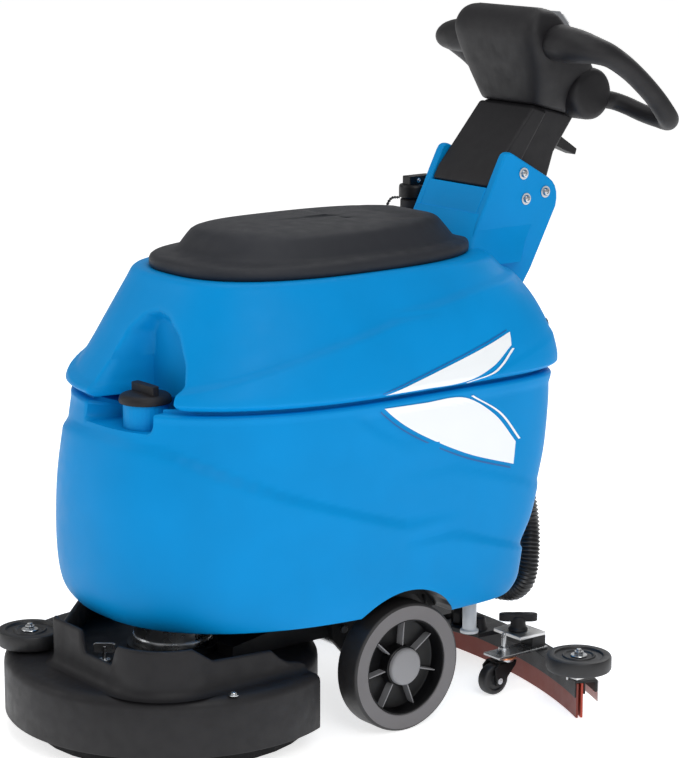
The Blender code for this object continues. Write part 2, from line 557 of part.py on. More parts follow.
def make_tank_fittings():
    """Float filter inside, drain port with its cap, and the hinge at the back of the two tanks."""
    cage = [(0, 0.100), (0.026, 0.100), (0.030, 0.094), (0.030, 0), (0, 0)]
    turned("float_filter", cage, (-0.090, 0.170, 0.547 + GAP), finish=HUB_GREY, steps=24)
    port = [(0, 0.046), (0.020, 0.046), (0.024, 0.040), (0.024, 0), (0, 0)]
    turned("drain_port", port, (-0.125, 0.318, PORT_SEAT_Z + GAP), finish=BLACK, steps=24)
    hinge_line = Vector((-0.125, 0.345, 0.750))
    cap = rod("drain_cap", (-0.125, 0.318, 0.7466), (-0.125, 0.318, 0.768), 0.026, BLACK, hinge_line)
    join(cap, box("add_cap_lever", (-0.135, 0.300, 0.765), (-0.115, 0.349, 0.782)))

    y, z = TANK_PIVOT.yz
    left, right = HINGE_X - 0.029, HINGE_X + 0.029
    low = box("tank_hinge_low", (left, 0.3367, 0.462), (right, 0.3407, 0.516), DARK_STEEL)
    join(low, rod("add_knuckle", (left, y, z), (right, y, z), 0.006, sides=16),
         box("add_knuckle_web", (left, 0.3367, 0.510), (right, 0.345, 0.5165)),
         rod("add_hinge_pin", (HINGE_X - 0.048, y, z), (HINGE_X + 0.048, y, z), 0.003, sides=12))
    left, right = HINGE_X - 0.048, HINGE_X + 0.048
    high = box("tank_hinge_high", (left, 0.3388, 0.5275), (right, 0.3425, 0.568), DARK_STEEL, TANK_PIVOT)
    for sign in (-1, 1):
        a, b = sorted((HINGE_X + sign * 0.030, HINGE_X + sign * 0.048))
        join(high, rod(f"add_eye_{sign}", (a, y, z), (b, y, z), 0.006, sides=16),
             box(f"add_eye_web_{sign}", (a, 0.3400, 0.5235), (b, 0.3500, 0.5290)))
    cut(high, rod("cut_eye", (HINGE_X - 0.06, y, z), (HINGE_X + 0.06, y, z), 0.0034, sides=16))


def make_neck():
    """Black column clasped by the saddle, with two cheeks for the squeegee lever."""
    side = [(0.3055, 0.7851), (0.4400, 0.7226), (0.4470, 0.7350), (0.4440, 0.7950), (0.5000, 0.8800),
            (0.4050, 0.9046), (0.3180, 0.8050)]
    neck = prism("neck_column", side, "x", -NECK_HALF, NECK_HALF, BLACK)
    cheek = [(0.468, 0.838), (0.500, 0.834), (0.507, 0.845), (0.500, 0.856), (0.480, 0.858)]
    for sign in (-1, 1):
        low, high = sorted((sign * 0.0125, sign * 0.0180))
        join(neck, prism(f"add_cheek_{sign}", cheek, "x", low, high))
    lever_side = arc(LEVER_PIVOT.yz, 0.010, 60, 240, 8)
    lever_side += [(0.520, 0.823), (0.548, 0.812), (0.551, 0.822), (0.524, 0.840)]
    lever = prism("squeegee_lever", lever_side, "x", -0.0120, 0.0120, BLACK, LEVER_PIVOT)
    y, z = LEVER_PIVOT.yz
    join(neck, rod("add_lever_pin", (-0.016, y, z), (0.016, y, z), 0.003, sides=12))
    cut(lever, rod("cut_lever_bore", (-0.02, y, z), (0.02, y, z), 0.0034, sides=16))


def make_console():
    """Steering head: a faced block with flared ears and a rear block for the handle ends."""
    side = [(0.4055, 0.9050), (0.4520, 0.8932), (0.5003, 0.8807), (0.5400, 0.9180), (0.5220, 0.9580),
            (0.4320, 1.0580), (0.3880, 1.0640), (0.3630, 1.0300), (0.3760, 0.9900)]
    head = prism("console", side, "x", -0.100, 0.100, BLACK)
    for sign in (-1, 1):
        wide = [(-0.042, -0.033), (-0.045, -0.003), (-0.020, 0.031), (0.024, 0.025), (0.060, -0.015),
                (0.012, -0.048)]
        rings = []
        for x, z, grow in ((0.095, 1.033, 1.0), (0.135, 1.019, 0.86), (0.155, 1.010, 0.66)):
            rings.append([(sign * x, 0.408 + a * grow, z + b * grow) for a, b in wide])
        join(head, loft(f"add_ear_{sign}", rings))
    join(head, box("add_rear_block", (-0.097, 0.500, 0.886), (0.097, 0.545, 0.930)))
    for side_name, sign in (("left", 1), ("right", -1)):
        grip = [(0.1553, 0.414, 1.008), (0.164, 0.414, 1.008), (0.179, 0.427, 1.006), (0.188, 0.456, 0.991),
                (0.193, 0.497, 0.963), (0.196, 0.540, 0.926), (0.195, 0.573, 0.892), (0.184, 0.587, 0.882),
                (0.160, 0.588, 0.883), (0.130, 0.583, 0.889), (0.104, 0.577, 0.898), (0.084, 0.567, 0.905),
                (0.078, 0.556, 0.908), (0.078, 0.5453, 0.908)]
        tube(f"handle_{side_name}", [(sign * x, y, z) for x, y, z in grip], 0.0160, BLACK, sides=4)


def panel_point(x, along, lift):
    """A point on the panel slope: x, distance down the slope, and height above it."""
    down = (PANEL_LOW - PANEL_TOP).normalized()
    out = Vector((0, -down.z, down.y))
    return Vector((x, 0, 0)) + PANEL_TOP + down * along + out * lift


def make_controls():
    """Panel on the console's slope, with a key switch and two push buttons in wells."""
    corners = [panel_point(0, along, lift).yz for along, lift in
               ((0.012, GAP), (0.122, GAP), (0.122, 0.0083), (0.012, 0.0083))]
    panel = prism("control_panel", corners, "x", -0.078, 0.078, HUB_GREY)
    for title, x in (("brush_button", -0.035), ("vacuum_button", 0.005)):
        low, high = panel_point(x, 0.045, 0.0023), panel_point(x, 0.045, 0.02)
        cut(panel, rod(f"cut_well_{title}", low, high, 0.0118))
        start = panel_point(x, 0.045, 0.0055)
        rod(title, start, panel_point(x, 0.045, 0.0115), 0.0108, GREEN, start)
    base = panel_point(0.048, 0.050, 0.0086)
    key = rod("key_switch", base, panel_point(0.048, 0.050, 0.0126), 0.011, STEEL, base)
    bow = [panel_point(0, along, lift).yz for along, lift in
           ((0.042, 0.012), (0.058, 0.012), (0.060, 0.028), (0.040, 0.028))]
    join(key, prism("add_key_bow", bow, "x", 0.0465, 0.0495))


make_solution_tank()
make_filler()
make_batteries()
make_vacuum_motor()
make_chassis()
make_wheels()
make_deck()
make_brush_drive()
make_deck_fittings()
make_squeegee()
make_hose()
make_casters()
make_recovery_tank()
make_lid()
make_tank_fittings()
make_neck()
make_console()
make_controls()
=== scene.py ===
"""Looks of the walk-behind floor scrubber: surfaces, procedural materials, camera, lights and floor."""
import math

import bmesh
import bpy
import numpy as np
from mathutils import Matrix, Vector


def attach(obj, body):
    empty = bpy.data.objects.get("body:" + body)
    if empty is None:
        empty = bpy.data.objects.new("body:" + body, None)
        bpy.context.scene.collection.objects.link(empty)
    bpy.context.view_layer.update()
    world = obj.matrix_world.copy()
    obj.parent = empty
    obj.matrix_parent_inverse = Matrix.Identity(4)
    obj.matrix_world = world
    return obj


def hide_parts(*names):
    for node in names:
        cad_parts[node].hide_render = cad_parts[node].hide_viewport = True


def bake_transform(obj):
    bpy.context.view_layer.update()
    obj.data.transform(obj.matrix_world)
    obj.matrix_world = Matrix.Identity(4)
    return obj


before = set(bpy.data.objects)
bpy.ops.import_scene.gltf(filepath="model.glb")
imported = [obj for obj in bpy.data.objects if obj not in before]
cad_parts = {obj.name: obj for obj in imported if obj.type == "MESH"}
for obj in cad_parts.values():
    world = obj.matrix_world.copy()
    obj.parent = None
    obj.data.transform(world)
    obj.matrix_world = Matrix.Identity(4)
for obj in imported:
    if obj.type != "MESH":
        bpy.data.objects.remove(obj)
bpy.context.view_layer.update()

# Sizes below are in the axle frame, in metres: Y is zero at the transport axle.
AXLE_Y = -0.0455
SHIFT = Vector((0, AXLE_Y, 0))
DECK_Y = -0.2565
BUMPER_AT = (-0.131, -0.43, 0.123)
WHEEL_X = 0.231
WHEEL_RADIUS = 0.1
BLADE_ARC_Y = -0.606
RIM_Z = 0.694
HAND_TURN = Matrix.Rotation(math.radians(52.9), 3, "Z")


# ---------------------------------------------------------------- materials
def linear(*rgb):
    """8-bit display colour to linear."""
    return tuple(((c / 255 + 0.055) / 1.055) ** 2.4 if c > 10 else c / 255 / 12.92 for c in rgb)


def surface(name, rgb, rough, grain=(900, 0.1), tone=0.05, wear=0.06, metallic=0.0, specular=0.5, patch=9):
    """A Principled material with slow colour drift, uneven roughness and a fine moulded or worked grain."""
    made = bpy.data.materials.new(name)
    made.use_nodes = True
    tree = made.node_tree
    shader = tree.nodes["Principled BSDF"]
    shader.inputs["Metallic"].default_value = metallic
    shader.inputs["Specular IOR Level"].default_value = specular
    place = tree.nodes.new("ShaderNodeTexCoord")

    def noise(scale, detail):
        node = tree.nodes.new("ShaderNodeTexNoise")
        node.inputs["Scale"].default_value = scale
        node.inputs["Detail"].default_value = detail
        tree.links.new(place.outputs["Object"], node.inputs["Vector"])
        return node

    def spread(source, low, high):
        node = tree.nodes.new("ShaderNodeMapRange")
        node.inputs["From Min"].default_value = 0.3
        node.inputs["From Max"].default_value = 0.7
        node.inputs["To Min"].default_value = low
        node.inputs["To Max"].default_value = high
        tree.links.new(source.outputs["Fac"], node.inputs["Value"])
        return node

    base = linear(*rgb)
    ramp = tree.nodes.new("ShaderNodeValToRGB")
    ramp.color_ramp.elements[0].position = 0.3
    ramp.color_ramp.elements[1].position = 0.7
    ramp.color_ramp.elements[0].color = (*[c * (1 - tone) for c in base], 1)
    ramp.color_ramp.elements[1].color = (*[min(1, c * (1 + tone)) for c in base], 1)
    tree.links.new(noise(patch, 3).outputs["Fac"], ramp.inputs["Fac"])
    tree.links.new(ramp.outputs["Color"], shader.inputs["Base Color"])
    uneven = spread(noise(45, 4), max(0.02, rough - wear), min(1, rough + wear))
    tree.links.new(uneven.outputs["Result"], shader.inputs["Roughness"])
    bump = tree.nodes.new("ShaderNodeBump")
    bump.inputs["Strength"].default_value = grain[1]
    bump.inputs["Distance"].default_value = 0.0006
    tree.links.new(noise(grain[0], 5).outputs["Fac"], bump.inputs["Height"])
    tree.links.new(bump.outputs["Normal"], shader.inputs["Normal"])
    return made


BLUE = surface("tank blue", (0, 136, 204), 0.46, (700, 0.05), tone=0.04, wear=0.05, specular=0.1)
BLACK = surface("black plastic", (21, 20, 23), 0.55, (1100, 0.3), tone=0.1, wear=0.07, specular=0.35)
GRAINED = surface("grained black lid", (34, 36, 42), 0.55, (1500, 0.55), tone=0.08, wear=0.06, specular=0.35)
# Satin black for the real black parts; the lower tank also uses it as painted shade in its wheel arches and
# underside.
SATIN_AND_SHADE = surface("satin black and painted shade", (9, 9, 11), 0.4, (900, 0.12), tone=0.12, specular=0.3)
DARK_STEEL = surface("powder coated steel", (30, 30, 32), 0.48, (1300, 0.3), tone=0.1, specular=0.35)
ZINC = surface("zinc plate", (196, 198, 200), 0.28, (500, 0.1), tone=0.1, metallic=1.0)
ALUMINIUM = surface("aluminium", (206, 206, 206), 0.33, (1600, 0.16), tone=0.06, metallic=1.0)
COPPER = surface("copper washer", (205, 130, 90), 0.32, (600, 0.1), tone=0.12, metallic=1.0)
TYRE = surface("grey tyre", (104, 102, 104), 0.55, (900, 0.22), tone=0.07)
TYRE_SIDE = surface("tyre tread", (34, 33, 34), 0.5, (900, 0.3), tone=0.08)
HUB = surface("hub grey", (132, 132, 135), 0.45, (1200, 0.14), tone=0.05)
RED = surface("red blade", (176, 62, 40), 0.5, (900, 0.14), tone=0.1)
RED_DARK = surface("dark red blade", (120, 42, 26), 0.52, (900, 0.14), tone=0.12)
RUBBER = surface("black rubber", (30, 30, 32), 0.5, (900, 0.25), tone=0.12)
HOSE = surface("hose black", (26, 26, 28), 0.36, (700, 0.16), tone=0.12)
BRISTLE = surface("nylon bristle", (22, 22, 25), 0.75, (1600, 0.9), tone=0.35, patch=400)
WHITE = surface("white film", (236, 240, 243), 0.35, (1200, 0.04), tone=0.01)
DEEP_BLUE = surface("deep blue line", (0, 92, 160), 0.4, (1200, 0.04), tone=0.03)
GREEN = surface("green button", (30, 140, 70), 0.35, (900, 0.05), tone=0.04)
DIAL = surface("panel grey", (120, 122, 126), 0.45, (1400, 0.18), tone=0.05)
BATTERY = surface("battery case", (36, 36, 40), 0.48, (900, 0.2), tone=0.1)


# ---------------------------------------------------------------- mesh helpers
def put(name, bm, body, finish, smooth=38, bevel=0.0, segments=3, replaces=()):
    """Turn a bmesh in the axle frame into a piece that rides on a body."""
    bmesh.ops.recalc_face_normals(bm, faces=bm.faces)
    data = bpy.data.meshes.new(name)
    bm.to_mesh(data)
    bm.free()
    data.transform(Matrix.Translation(SHIFT))
    obj = bpy.data.objects.new(name, data)
    bpy.context.scene.collection.objects.link(obj)
    for one in finish if isinstance(finish, tuple) else (finish,):
        data.materials.append(one)
    if smooth:
        data.shade_smooth()
        data.set_sharp_from_angle(angle=math.radians(smooth))
    if bevel:
        step = obj.modifiers.new("soft edges", "BEVEL")
        step.width = bevel
        step.segments = segments
        step.limit_method = "ANGLE"
        step.angle_limit = math.radians(30)
        step.harden_normals = True
    if body:
        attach(obj, body)
    if replaces:
        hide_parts(*replaces)
    return obj


def skin(rows, wrap=True, cap_first=False, cap_last=False):
    """A bmesh over rows of points."""
    bm = bmesh.new()
    lines = [[bm.verts.new(p) for p in row] for row in rows]
    count = len(lines[0])
    for low, high in zip(lines, lines[1:]):
        for i in range(count if wrap else count - 1):
            j = (i + 1) % count
            bm.faces.new((low[i], low[j], high[j], high[i]))
    if cap_first:
        bm.faces.new(lines[0])
    if cap_last:
        bm.faces.new(lines[-1])
    return bm


def lathe(profile, centre, axis="z", steps=72):
    """A bmesh turned from (radius, height) about an axis; -x turns the heights towards -X."""
    bm = bmesh.new()
    turn = {"z": Matrix.Identity(3), "x": Matrix.Rotation(math.pi / 2, 3, "Y"),
            "-x": Matrix.Rotation(-math.pi / 2, 3, "Y"), "y": Matrix.Rotation(-math.pi / 2, 3, "X")}[axis]
    centre = Vector(centre)
    rings = []
    for r, h in profile:
        if r < 1e-6:
            rings.append([bm.verts.new(centre + turn @ Vector((0, 0, h)))])
            continue
        rings.append([bm.verts.new(centre + turn @ Vector((r * math.cos(a), r * math.sin(a), h)))
                      for a in (2 * math.pi * k / steps for k in range(steps))])
    for a, b in zip(rings, rings[1:]):
        for i in range(steps):
            j = (i + 1) % steps
            quad = [a[i % len(a)], a[j % len(a)], b[j % len(b)], b[i % len(b)]]
            corners = [v for k, v in enumerate(quad) if v not in quad[:k]]
            if len(corners) > 2:
                bm.faces.new(corners)
    return bm


def curve_points(points, per):
    """Catmull-Rom through every point."""
    pts = [Vector(p) for p in points]
    pts = [2 * pts[0] - pts[1]] + pts + [2 * pts[-1] - pts[-2]]
    out = []
    for a, b, c, d in zip(pts, pts[1:], pts[2:], pts[3:]):
        for k in range(per):
            t = k / per
            out.append(0.5 * (2 * b + (c - a) * t + (2 * a - 5 * b + 4 * c - d) * t ** 2
                              + (3 * b - a - 3 * c + d) * t ** 3))
    return out + [pts[-2]]


def sweep(path, radii, sides=20, up=(0, 0, 1)):
    """A bmesh tube along path; each radius is (along up, across)."""
    path = [Vector(p) for p in path]
    rows = []
    up = Vector(up)
    for k, at in enumerate(path):
        along = (path[min(k + 1, len(path) - 1)] - path[max(k - 1, 0)]).normalized()
        up = (up - along * up.dot(along)).normalized()
        side = along.cross(up)
        a, b = radii[k]
        rows.append([at + up * a * math.cos(t) + side * b * math.sin(t)
                     for t in (2 * math.pi * i / sides for i in range(sides))])
    return skin(rows, cap_first=True, cap_last=True)


def slab(outline, axis, low, high):
    """A bmesh prism of an outline along an axis."""
    order = {"x": lambda a, b, t: (t, a, b), "y": lambda a, b, t: (a, t, b), "z": lambda a, b,
             t: (a, b, t)}[axis]
    rows = [[order(a, b, t) for a, b in outline] for t in (low, high)]
    return skin(rows, cap_first=True, cap_last=True)


def block(low, high):
    return slab([(low[0], low[1]), (high[0], low[1]), (high[0], high[1]), (low[0], high[1])], "z", low[2],
                high[2])


def merge(*parts):
    """Several bmeshes in one."""
    whole = bmesh.new()
    for part in parts:
        data = bpy.data.meshes.new("part")
        part.to_mesh(data)
        part.free()
        whole.from_mesh(data)
        bpy.data.meshes.remove(data)
    return whole


def arc(centre, radius, start, end, steps):
    angles = [math.radians(start + (end - start) * k / steps) for k in range(steps + 1)]
    return [(centre[0] + radius * math.cos(a), centre[1] + radius * math.sin(a)) for a in angles]


def soften(node, body, finish, bevel, segments=2):
    """A CAD node's own shape with rounded edges, in its place."""
    bm = bmesh.new()
    bm.from_mesh(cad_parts[node].data)
    bmesh.ops.translate(bm, verts=bm.verts, vec=-SHIFT)
    bmesh.ops.remove_doubles(bm, verts=bm.verts, dist=0.00005)
    bmesh.ops.dissolve_limit(bm, angle_limit=math.radians(2), verts=bm.verts, edges=bm.edges)
    return put(node + "_fine", bm, body, finish, bevel=bevel, segments=segments, replaces=(node,))


def paint(finish, *nodes):
    """A finish on CAD nodes that keep their shape."""
    for node in nodes:
        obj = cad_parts[node]
        if not obj.material_slots:
            obj.data.materials.append(finish)
        for one in obj.material_slots:
            one.material = finish


def blur_rows(table, per):
    """Smooth rows between a table's rows."""
    table = np.array(table, float)
    ext = np.vstack([2 * table[0] - table[1], table, 2 * table[-1] - table[-2]])
    out = []
    for k in range(len(table) - 1):
        a, b, c, d = ext[k:k + 4]
        for t in np.arange(per) / per:
            out.append(0.5 * (2 * b + (c - a) * t + (2 * a - 5 * b + 4 * c - d) * t ** 2
                              + (3 * b - a - 3 * c + d) * t ** 3))
    return np.array(out + [table[-1]])


def step(value, width):
    """0 to 1 smoothly as value runs from -width/2 to width/2."""
    t = np.clip(value / width + 0.5, 0, 1)
    return t * t * (3 - 2 * t)


def screw(name, at, axis, radius, body, finish=ZINC, washer=1.45):
    """A button head bolt with a washer and a socket."""
    r = radius
    profile = [(0, 0.35 * r), (0.42 * r, 0.35 * r), (0.46 * r, 0.9 * r), (0.75 * r, 0.82 * r),
               (0.98 * r, 0.45 * r),
               (r, 0.22 * r), (washer * r, 0.2 * r), (washer * r, 0), (0, 0)]
    return put(name, lathe(profile, at, axis, 28), body, finish, smooth=30)


# ---------------------------------------------------------------- tanks
def ring_points(row, angles, nose, tail):
    """A tank's plan at one height, round in front and squarer behind."""
    z, front, rear, half = row[:4]
    c, s = np.cos(angles), np.sin(angles)
    power = np.where(s < 0, nose, tail)
    reach = np.where(s < 0, front, rear)
    x = half * np.sign(c) * np.abs(c) ** (2 / power)
    y = reach * np.sign(s) * np.abs(s) ** (2 / power)
    return x, y, np.full_like(x, z)


def ring_angles(count):
    """Even angles round the plan."""
    return np.linspace(0, 2 * np.pi, count, endpoint=False)


UPPER_CREASE = ([-0.42, -0.326, -0.273, -0.201, -0.128, 0.045, 0.181, 0.285, 0.36],
                [0.535, 0.553, 0.565, 0.585, 0.603, 0.64, 0.66, 0.668, 0.67])
LOWER_CREASE = ([-0.42, -0.351, -0.292, -0.218, -0.141, -0.053, 0.068, 0.266, 0.36],
                [0.48, 0.461, 0.429, 0.396, 0.369, 0.339, 0.302, 0.237, 0.205])
LOWER_SECOND = ([-0.1, -0.055, 0.088, 0.272, 0.36], [0.505, 0.472, 0.4, 0.342, 0.325])
SCOOP = [(-0.012, 0.5), (-0.011, 0.534), (-0.01, 0.575), (-0.004, 0.62), (0.014, 0.646), (0.038, 0.655),
         (0.063, 0.649), (0.096, 0.625), (0.125, 0.585), (0.138, 0.559), (0.143, 0.528), (0.145, 0.5)]


def inside_distance(x, z, outline):
    """Distance inside a closed outline, negative outside."""
    pts = np.array(outline)
    nxt = np.roll(pts, -1, axis=0)
    best = np.full(x.shape, 9.0)
    inside = np.zeros(x.shape, bool)
    for (ax, az), (bx, bz) in zip(pts, nxt):
        dx, dz = bx - ax, bz - az
        t = np.clip(((x - ax) * dx + (z - az) * dz) / (dx * dx + dz * dz), 0, 1)
        best = np.minimum(best, np.hypot(x - ax - t * dx, z - az - t * dz))
        crosses = ((az > z) != (bz > z)) & (x < (bx - ax) * (z - az) / (bz - az + 1e-12) + ax)
        inside ^= crosses
    return np.where(inside, best, -best)


def outward(x, y):
    """Unit normals of a closed plan in the XY plane."""
    dx, dy = np.roll(x, -1) - np.roll(x, 1), np.roll(y, -1) - np.roll(y, 1)
    length = np.hypot(dx, dy) + 1e-9
    return dy / length, -dx / length


def upper_swell(y, z):
    """How far the upper tank's side stands proud at a place."""
    crease = np.interp(y, *UPPER_CREASE)
    fade = step(z - 0.528, 0.01)
    rear = step(y - 0.16, 0.03) * step(0.541 + 0.28 * (y - 0.18) - z, 0.008)
    return (0.0082 * (1 - step(z - crease, 0.008)) - 0.0042 + 0.0022 * rear) * fade


def lower_swell(y, z):
    """How far the lower tank's side stands proud at a place."""
    crease = np.interp(y, *LOWER_CREASE)
    second = np.interp(y, *LOWER_SECOND)
    out = 0.0064 * (1 - step(z - crease, 0.01))
    out -= 0.003 * step(z - second, 0.01) * step(y + 0.085, 0.05) * (1 - step(z - 0.5, 0.012))
    return (out - 0.0015) * (1 - step(z - 0.508, 0.012))


def make_upper_tank():
    angles = ring_angles(460)
    outer = blur_rows([(0.5262, 0.3835, 0.336, 0.252, 2.35, 7), (0.53, 0.3868, 0.3376, 0.254, 2.35, 7),
                       (0.536, 0.388, 0.338, 0.2545, 2.35, 7), (0.55, 0.38, 0.338, 0.252, 2.35, 7),
                       (0.582, 0.354, 0.331, 0.244, 2.35, 7), (0.622, 0.328, 0.32, 0.23, 2.35, 6),
                       (0.652, 0.307, 0.309, 0.214, 2.45, 5), (0.676, 0.289, 0.295, 0.197, 2.65, 4.3),
                       (0.6895, 0.2795, 0.2865, 0.1865, 2.8, 4),
                       (0.6945, 0.2735, 0.2815, 0.1805, 2.85, 3.4)], 9)
    plain = [(0.5235, 0.372, 0.325, 0.242, 2.35, 7), (0.5238, 0.379, 0.332, 0.2485, 2.35, 7)]
    inner = [(0.6945, 0.244, 0.262, 0.155, 2.75, 2.6), (0.69, 0.239, 0.253, 0.149, 2.75, 2.6),
             (0.65, 0.222, 0.238, 0.172, 3.4, 3.5), (0.56, 0.216, 0.235, 0.184, 4, 6),
             (0.548, 0.206, 0.225, 0.174, 4, 6)]
    rows = []
    for kind, table in (("plain", plain), ("outer", outer), ("inner", inner)):
        for row in table:
            x, y, z = ring_points(row, angles, row[4], row[5])
            if kind == "outer":
                nx, ny = outward(x, y)
                swell = upper_swell(y, z)
                x, y = x + nx * swell, y + ny * swell
            if kind != "inner":
                depth = inside_distance(x, z, SCOOP)
                pull = step(depth - 0.007, 0.02) * (y < -0.1)
                y = y + pull * (-0.288 - y) * (y < -0.288)
            rows.append(np.stack([x, y, z], 1))
    bm = skin(rows, cap_first=True, cap_last=True)
    return put("upper_tank_shell", bm, "recovery_tank", BLUE, smooth=60, replaces=("recovery_tank",))


def make_saddle():
    """The two flanges that clasp the neck, and the block between them."""
    flange = [(0.262, 0.64), (0.262, 0.702), (0.3, 0.775), (0.312, 0.8)]
    flange += [(0.327, 0.829), (0.331, 0.835), (0.3365, 0.8385), (0.343, 0.8383), (0.349, 0.8355)]
    flange += [(0.425, 0.793), (0.434, 0.786), (0.44, 0.778), (0.4435, 0.768), (0.444, 0.757), (0.442, 0.745)]
    flange += [(0.391, 0.65), (0.33, 0.56), (0.3, 0.56)]
    for side, sign in (("left", 1), ("right", -1)):
        low, high = sorted((sign * 0.0682, sign * 0.0832))
        put(f"saddle_flange_{side}", slab(flange, "x", low, high), "recovery_tank", BLUE, bevel=0.0035)
        for k, (y, z) in enumerate(((0.37, 0.803), (0.417, 0.77), (0.376, 0.762))):
            screw(f"flange_bolt_{side}_{k}", (sign * 0.0834, y, z), "x" if sign > 0 else "-x", 0.0065,
                  "recovery_tank")
    middle = [(0.262, 0.64), (0.264, 0.702), (0.3035, 0.785), (0.44, 0.7218), (0.391, 0.65), (0.33, 0.56),
              (0.3, 0.56)]
    put("saddle_block", slab(middle, "x", -0.07, 0.07), "recovery_tank", BLUE, bevel=0.003)
    foot = []
    for grow, z in ((0.03, 0.668), (0.02, 0.684), (0.011, 0.697), (0.005, 0.712), (0.001, 0.73),
                    (0.0, 0.745)):
        front = 0.258 + (z - 0.69) * 0.45 - grow * 0.35
        back = 0.3 + (z - 0.62) * 0.9
        half = 0.08 + grow
        foot.append([(x, y, z) for x, y in ((half, front + 0.006), (half, back), (-half, back),
            (-half, front + 0.006),
            (-half + 0.006, front), (half - 0.006, front))])
    put("saddle_foot", skin(foot, cap_first=True, cap_last=True), "recovery_tank", BLUE, smooth=50)
    seat = block((-0.155, 0.276, 0.6), (-0.095, 0.346, 0.6998))
    put("port_seat", seat, "recovery_tank", BLUE, bevel=0.006)


def make_lower_tank():
    angles = ring_angles(460)
    outer = blur_rows([(0.1652, 0.335, 0.246, 0.222, 0, 0), (0.17, 0.348, 0.257, 0.234, 0, 0),
                       (0.19, 0.376, 0.266, 0.244, 0, 0), (0.215, 0.398, 0.2675, 0.25, 0, 0),
                       (0.245, 0.408, 0.273, 0.252, 0, 0), (0.29, 0.412, 0.298, 0.253, 0, 0),
                       (0.345, 0.411, 0.314, 0.254, 0, 0), (0.4, 0.406, 0.328, 0.254, 0, 0),
                       (0.47, 0.393, 0.336, 0.253, 0, 0), (0.505, 0.3865, 0.3365, 0.2515, 0, 0),
                       (0.513, 0.385, 0.336, 0.2505, 0, 0), (0.5165, 0.382, 0.333, 0.2475, 0, 0)], 8)
    rim = [(0.5168, 0.376, 0.327, 0.2415, 0, 0), (0.5168, 0.371, 0.321, 0.236, 0, 0),
           (0.5222, 0.37, 0.32, 0.235, 0, 0)]
    well = [(0.5222, 0.238, 0.25, 0.197), (0.4, 0.238, 0.25, 0.197), (0.2355, 0.238, 0.25, 0.197),
            (0.2352, 0.228, 0.24, 0.187)]
    floor_row = [(0.165, 0.3, 0.22, 0.19, 0, 0)]
    rows = []
    for kind, table in (("floor", floor_row), ("outer", outer), ("rim", rim), ("well", well)):
        for row in table:
            if kind == "well":
                x, y, z = ring_points(row, angles, 14, 14)
                rows.append(np.stack([x, y, z], 1))
                continue
            x, y, z = ring_points(row, angles, 2.35, 7.0)
            if kind == "outer":
                nx, ny = outward(x, y)
                swell = lower_swell(y, z)
                x, y = x + nx * swell, y + ny * swell
            ledge = step(x + 0.024, 0.014) * step(0.104 - x, 0.014) * (y < -0.2)
            t = np.clip((z - 0.487) / 0.026, 0, 1)
            y = y + ledge * t * (-0.27 - y)
            z = z - ledge * np.maximum(0, z - 0.487)
            z = np.where(y < 0.085, np.maximum(z, 0.1905), z)
            rows.append(np.stack([x, y, z], 1))
    bm = skin(rows, cap_first=True, cap_last=True)
    shell = put("lower_tank_shell", bm, "chassis", BLUE, smooth=60, replaces=("solution_tank",))
    arch_tool = [(0, 0.3), (0.122, 0.3), (0.122, 0.195), (0, 0.195)]
    recess_tool = [(0, 0.15), (0.0795, 0.15), (0.0795, 0.223), (0, 0.223)]
    tools = [lathe(arch_tool, (0, 0, 0.1), "x", 96), lathe(arch_tool, (0, 0, 0.1), "-x", 96),
             lathe(recess_tool, (0, DECK_Y, 0), "z", 72)]
    for tool_mesh in tools:
        cutter = put("arch_cutter", tool_mesh, None, BLUE)
        hole = shell.modifiers.new("arch", "BOOLEAN")
        hole.operation = "DIFFERENCE"
        hole.solver = "EXACT"
        hole.object = cutter
        bpy.context.view_layer.update()
        cut_mesh = bpy.data.meshes.new_from_object(shell.evaluated_get(bpy.context.evaluated_depsgraph_get()))
        shell.modifiers.clear()
        shell.data = cut_mesh
        bpy.data.objects.remove(cutter, do_unlink=True)
    # Painted shade: faces inside the wheel arches and under the middle of the tank get this near-black
    # material instead of blue.
    shell.data.materials.append(SATIN_AND_SHADE)
    for face in shell.data.polygons:
        at = face.center - SHIFT
        if math.hypot(at.y, at.z - 0.1) < 0.1222 or (abs(at.x) < 0.2 and abs(at.y) < 0.122 and at.z < 0.222):
            face.material_index = 1
    shell.data.set_sharp_from_angle(angle=math.radians(60))
    return shell


def side_x(y, z, tank):
    """Where the tank's left side stands at a place, by its plan and swell."""
    if tank == "upper":
        half = np.interp(z, [0.526, 0.536, 0.55, 0.582, 0.622, 0.652],
                         [0.252, 0.2545, 0.252, 0.244, 0.23, 0.214])
        rear = np.interp(z, [0.526, 0.536, 0.55, 0.582, 0.622, 0.652],
                         [0.336, 0.338, 0.338, 0.331, 0.32, 0.309])
        power = np.interp(z, [0.582, 0.622, 0.652], [7, 6, 5])
        swell = upper_swell(y, z)
    else:
        half = np.interp(z, [0.29, 0.345, 0.4, 0.47, 0.505, 0.513],
                         [0.253, 0.254, 0.254, 0.253, 0.2515, 0.2505])
        rear = np.interp(z, [0.29, 0.345, 0.4, 0.47, 0.505], [0.298, 0.314, 0.328, 0.336, 0.3365])
        power = 7.0
        swell = lower_swell(y, z)
    reach = np.where(y > 0, rear, 0.385)
    power = np.where(y > 0, power, 2.35)
    return half * (1 - np.clip(np.abs(y) / reach, 0, 0.999) ** power) ** (1 / power) + swell


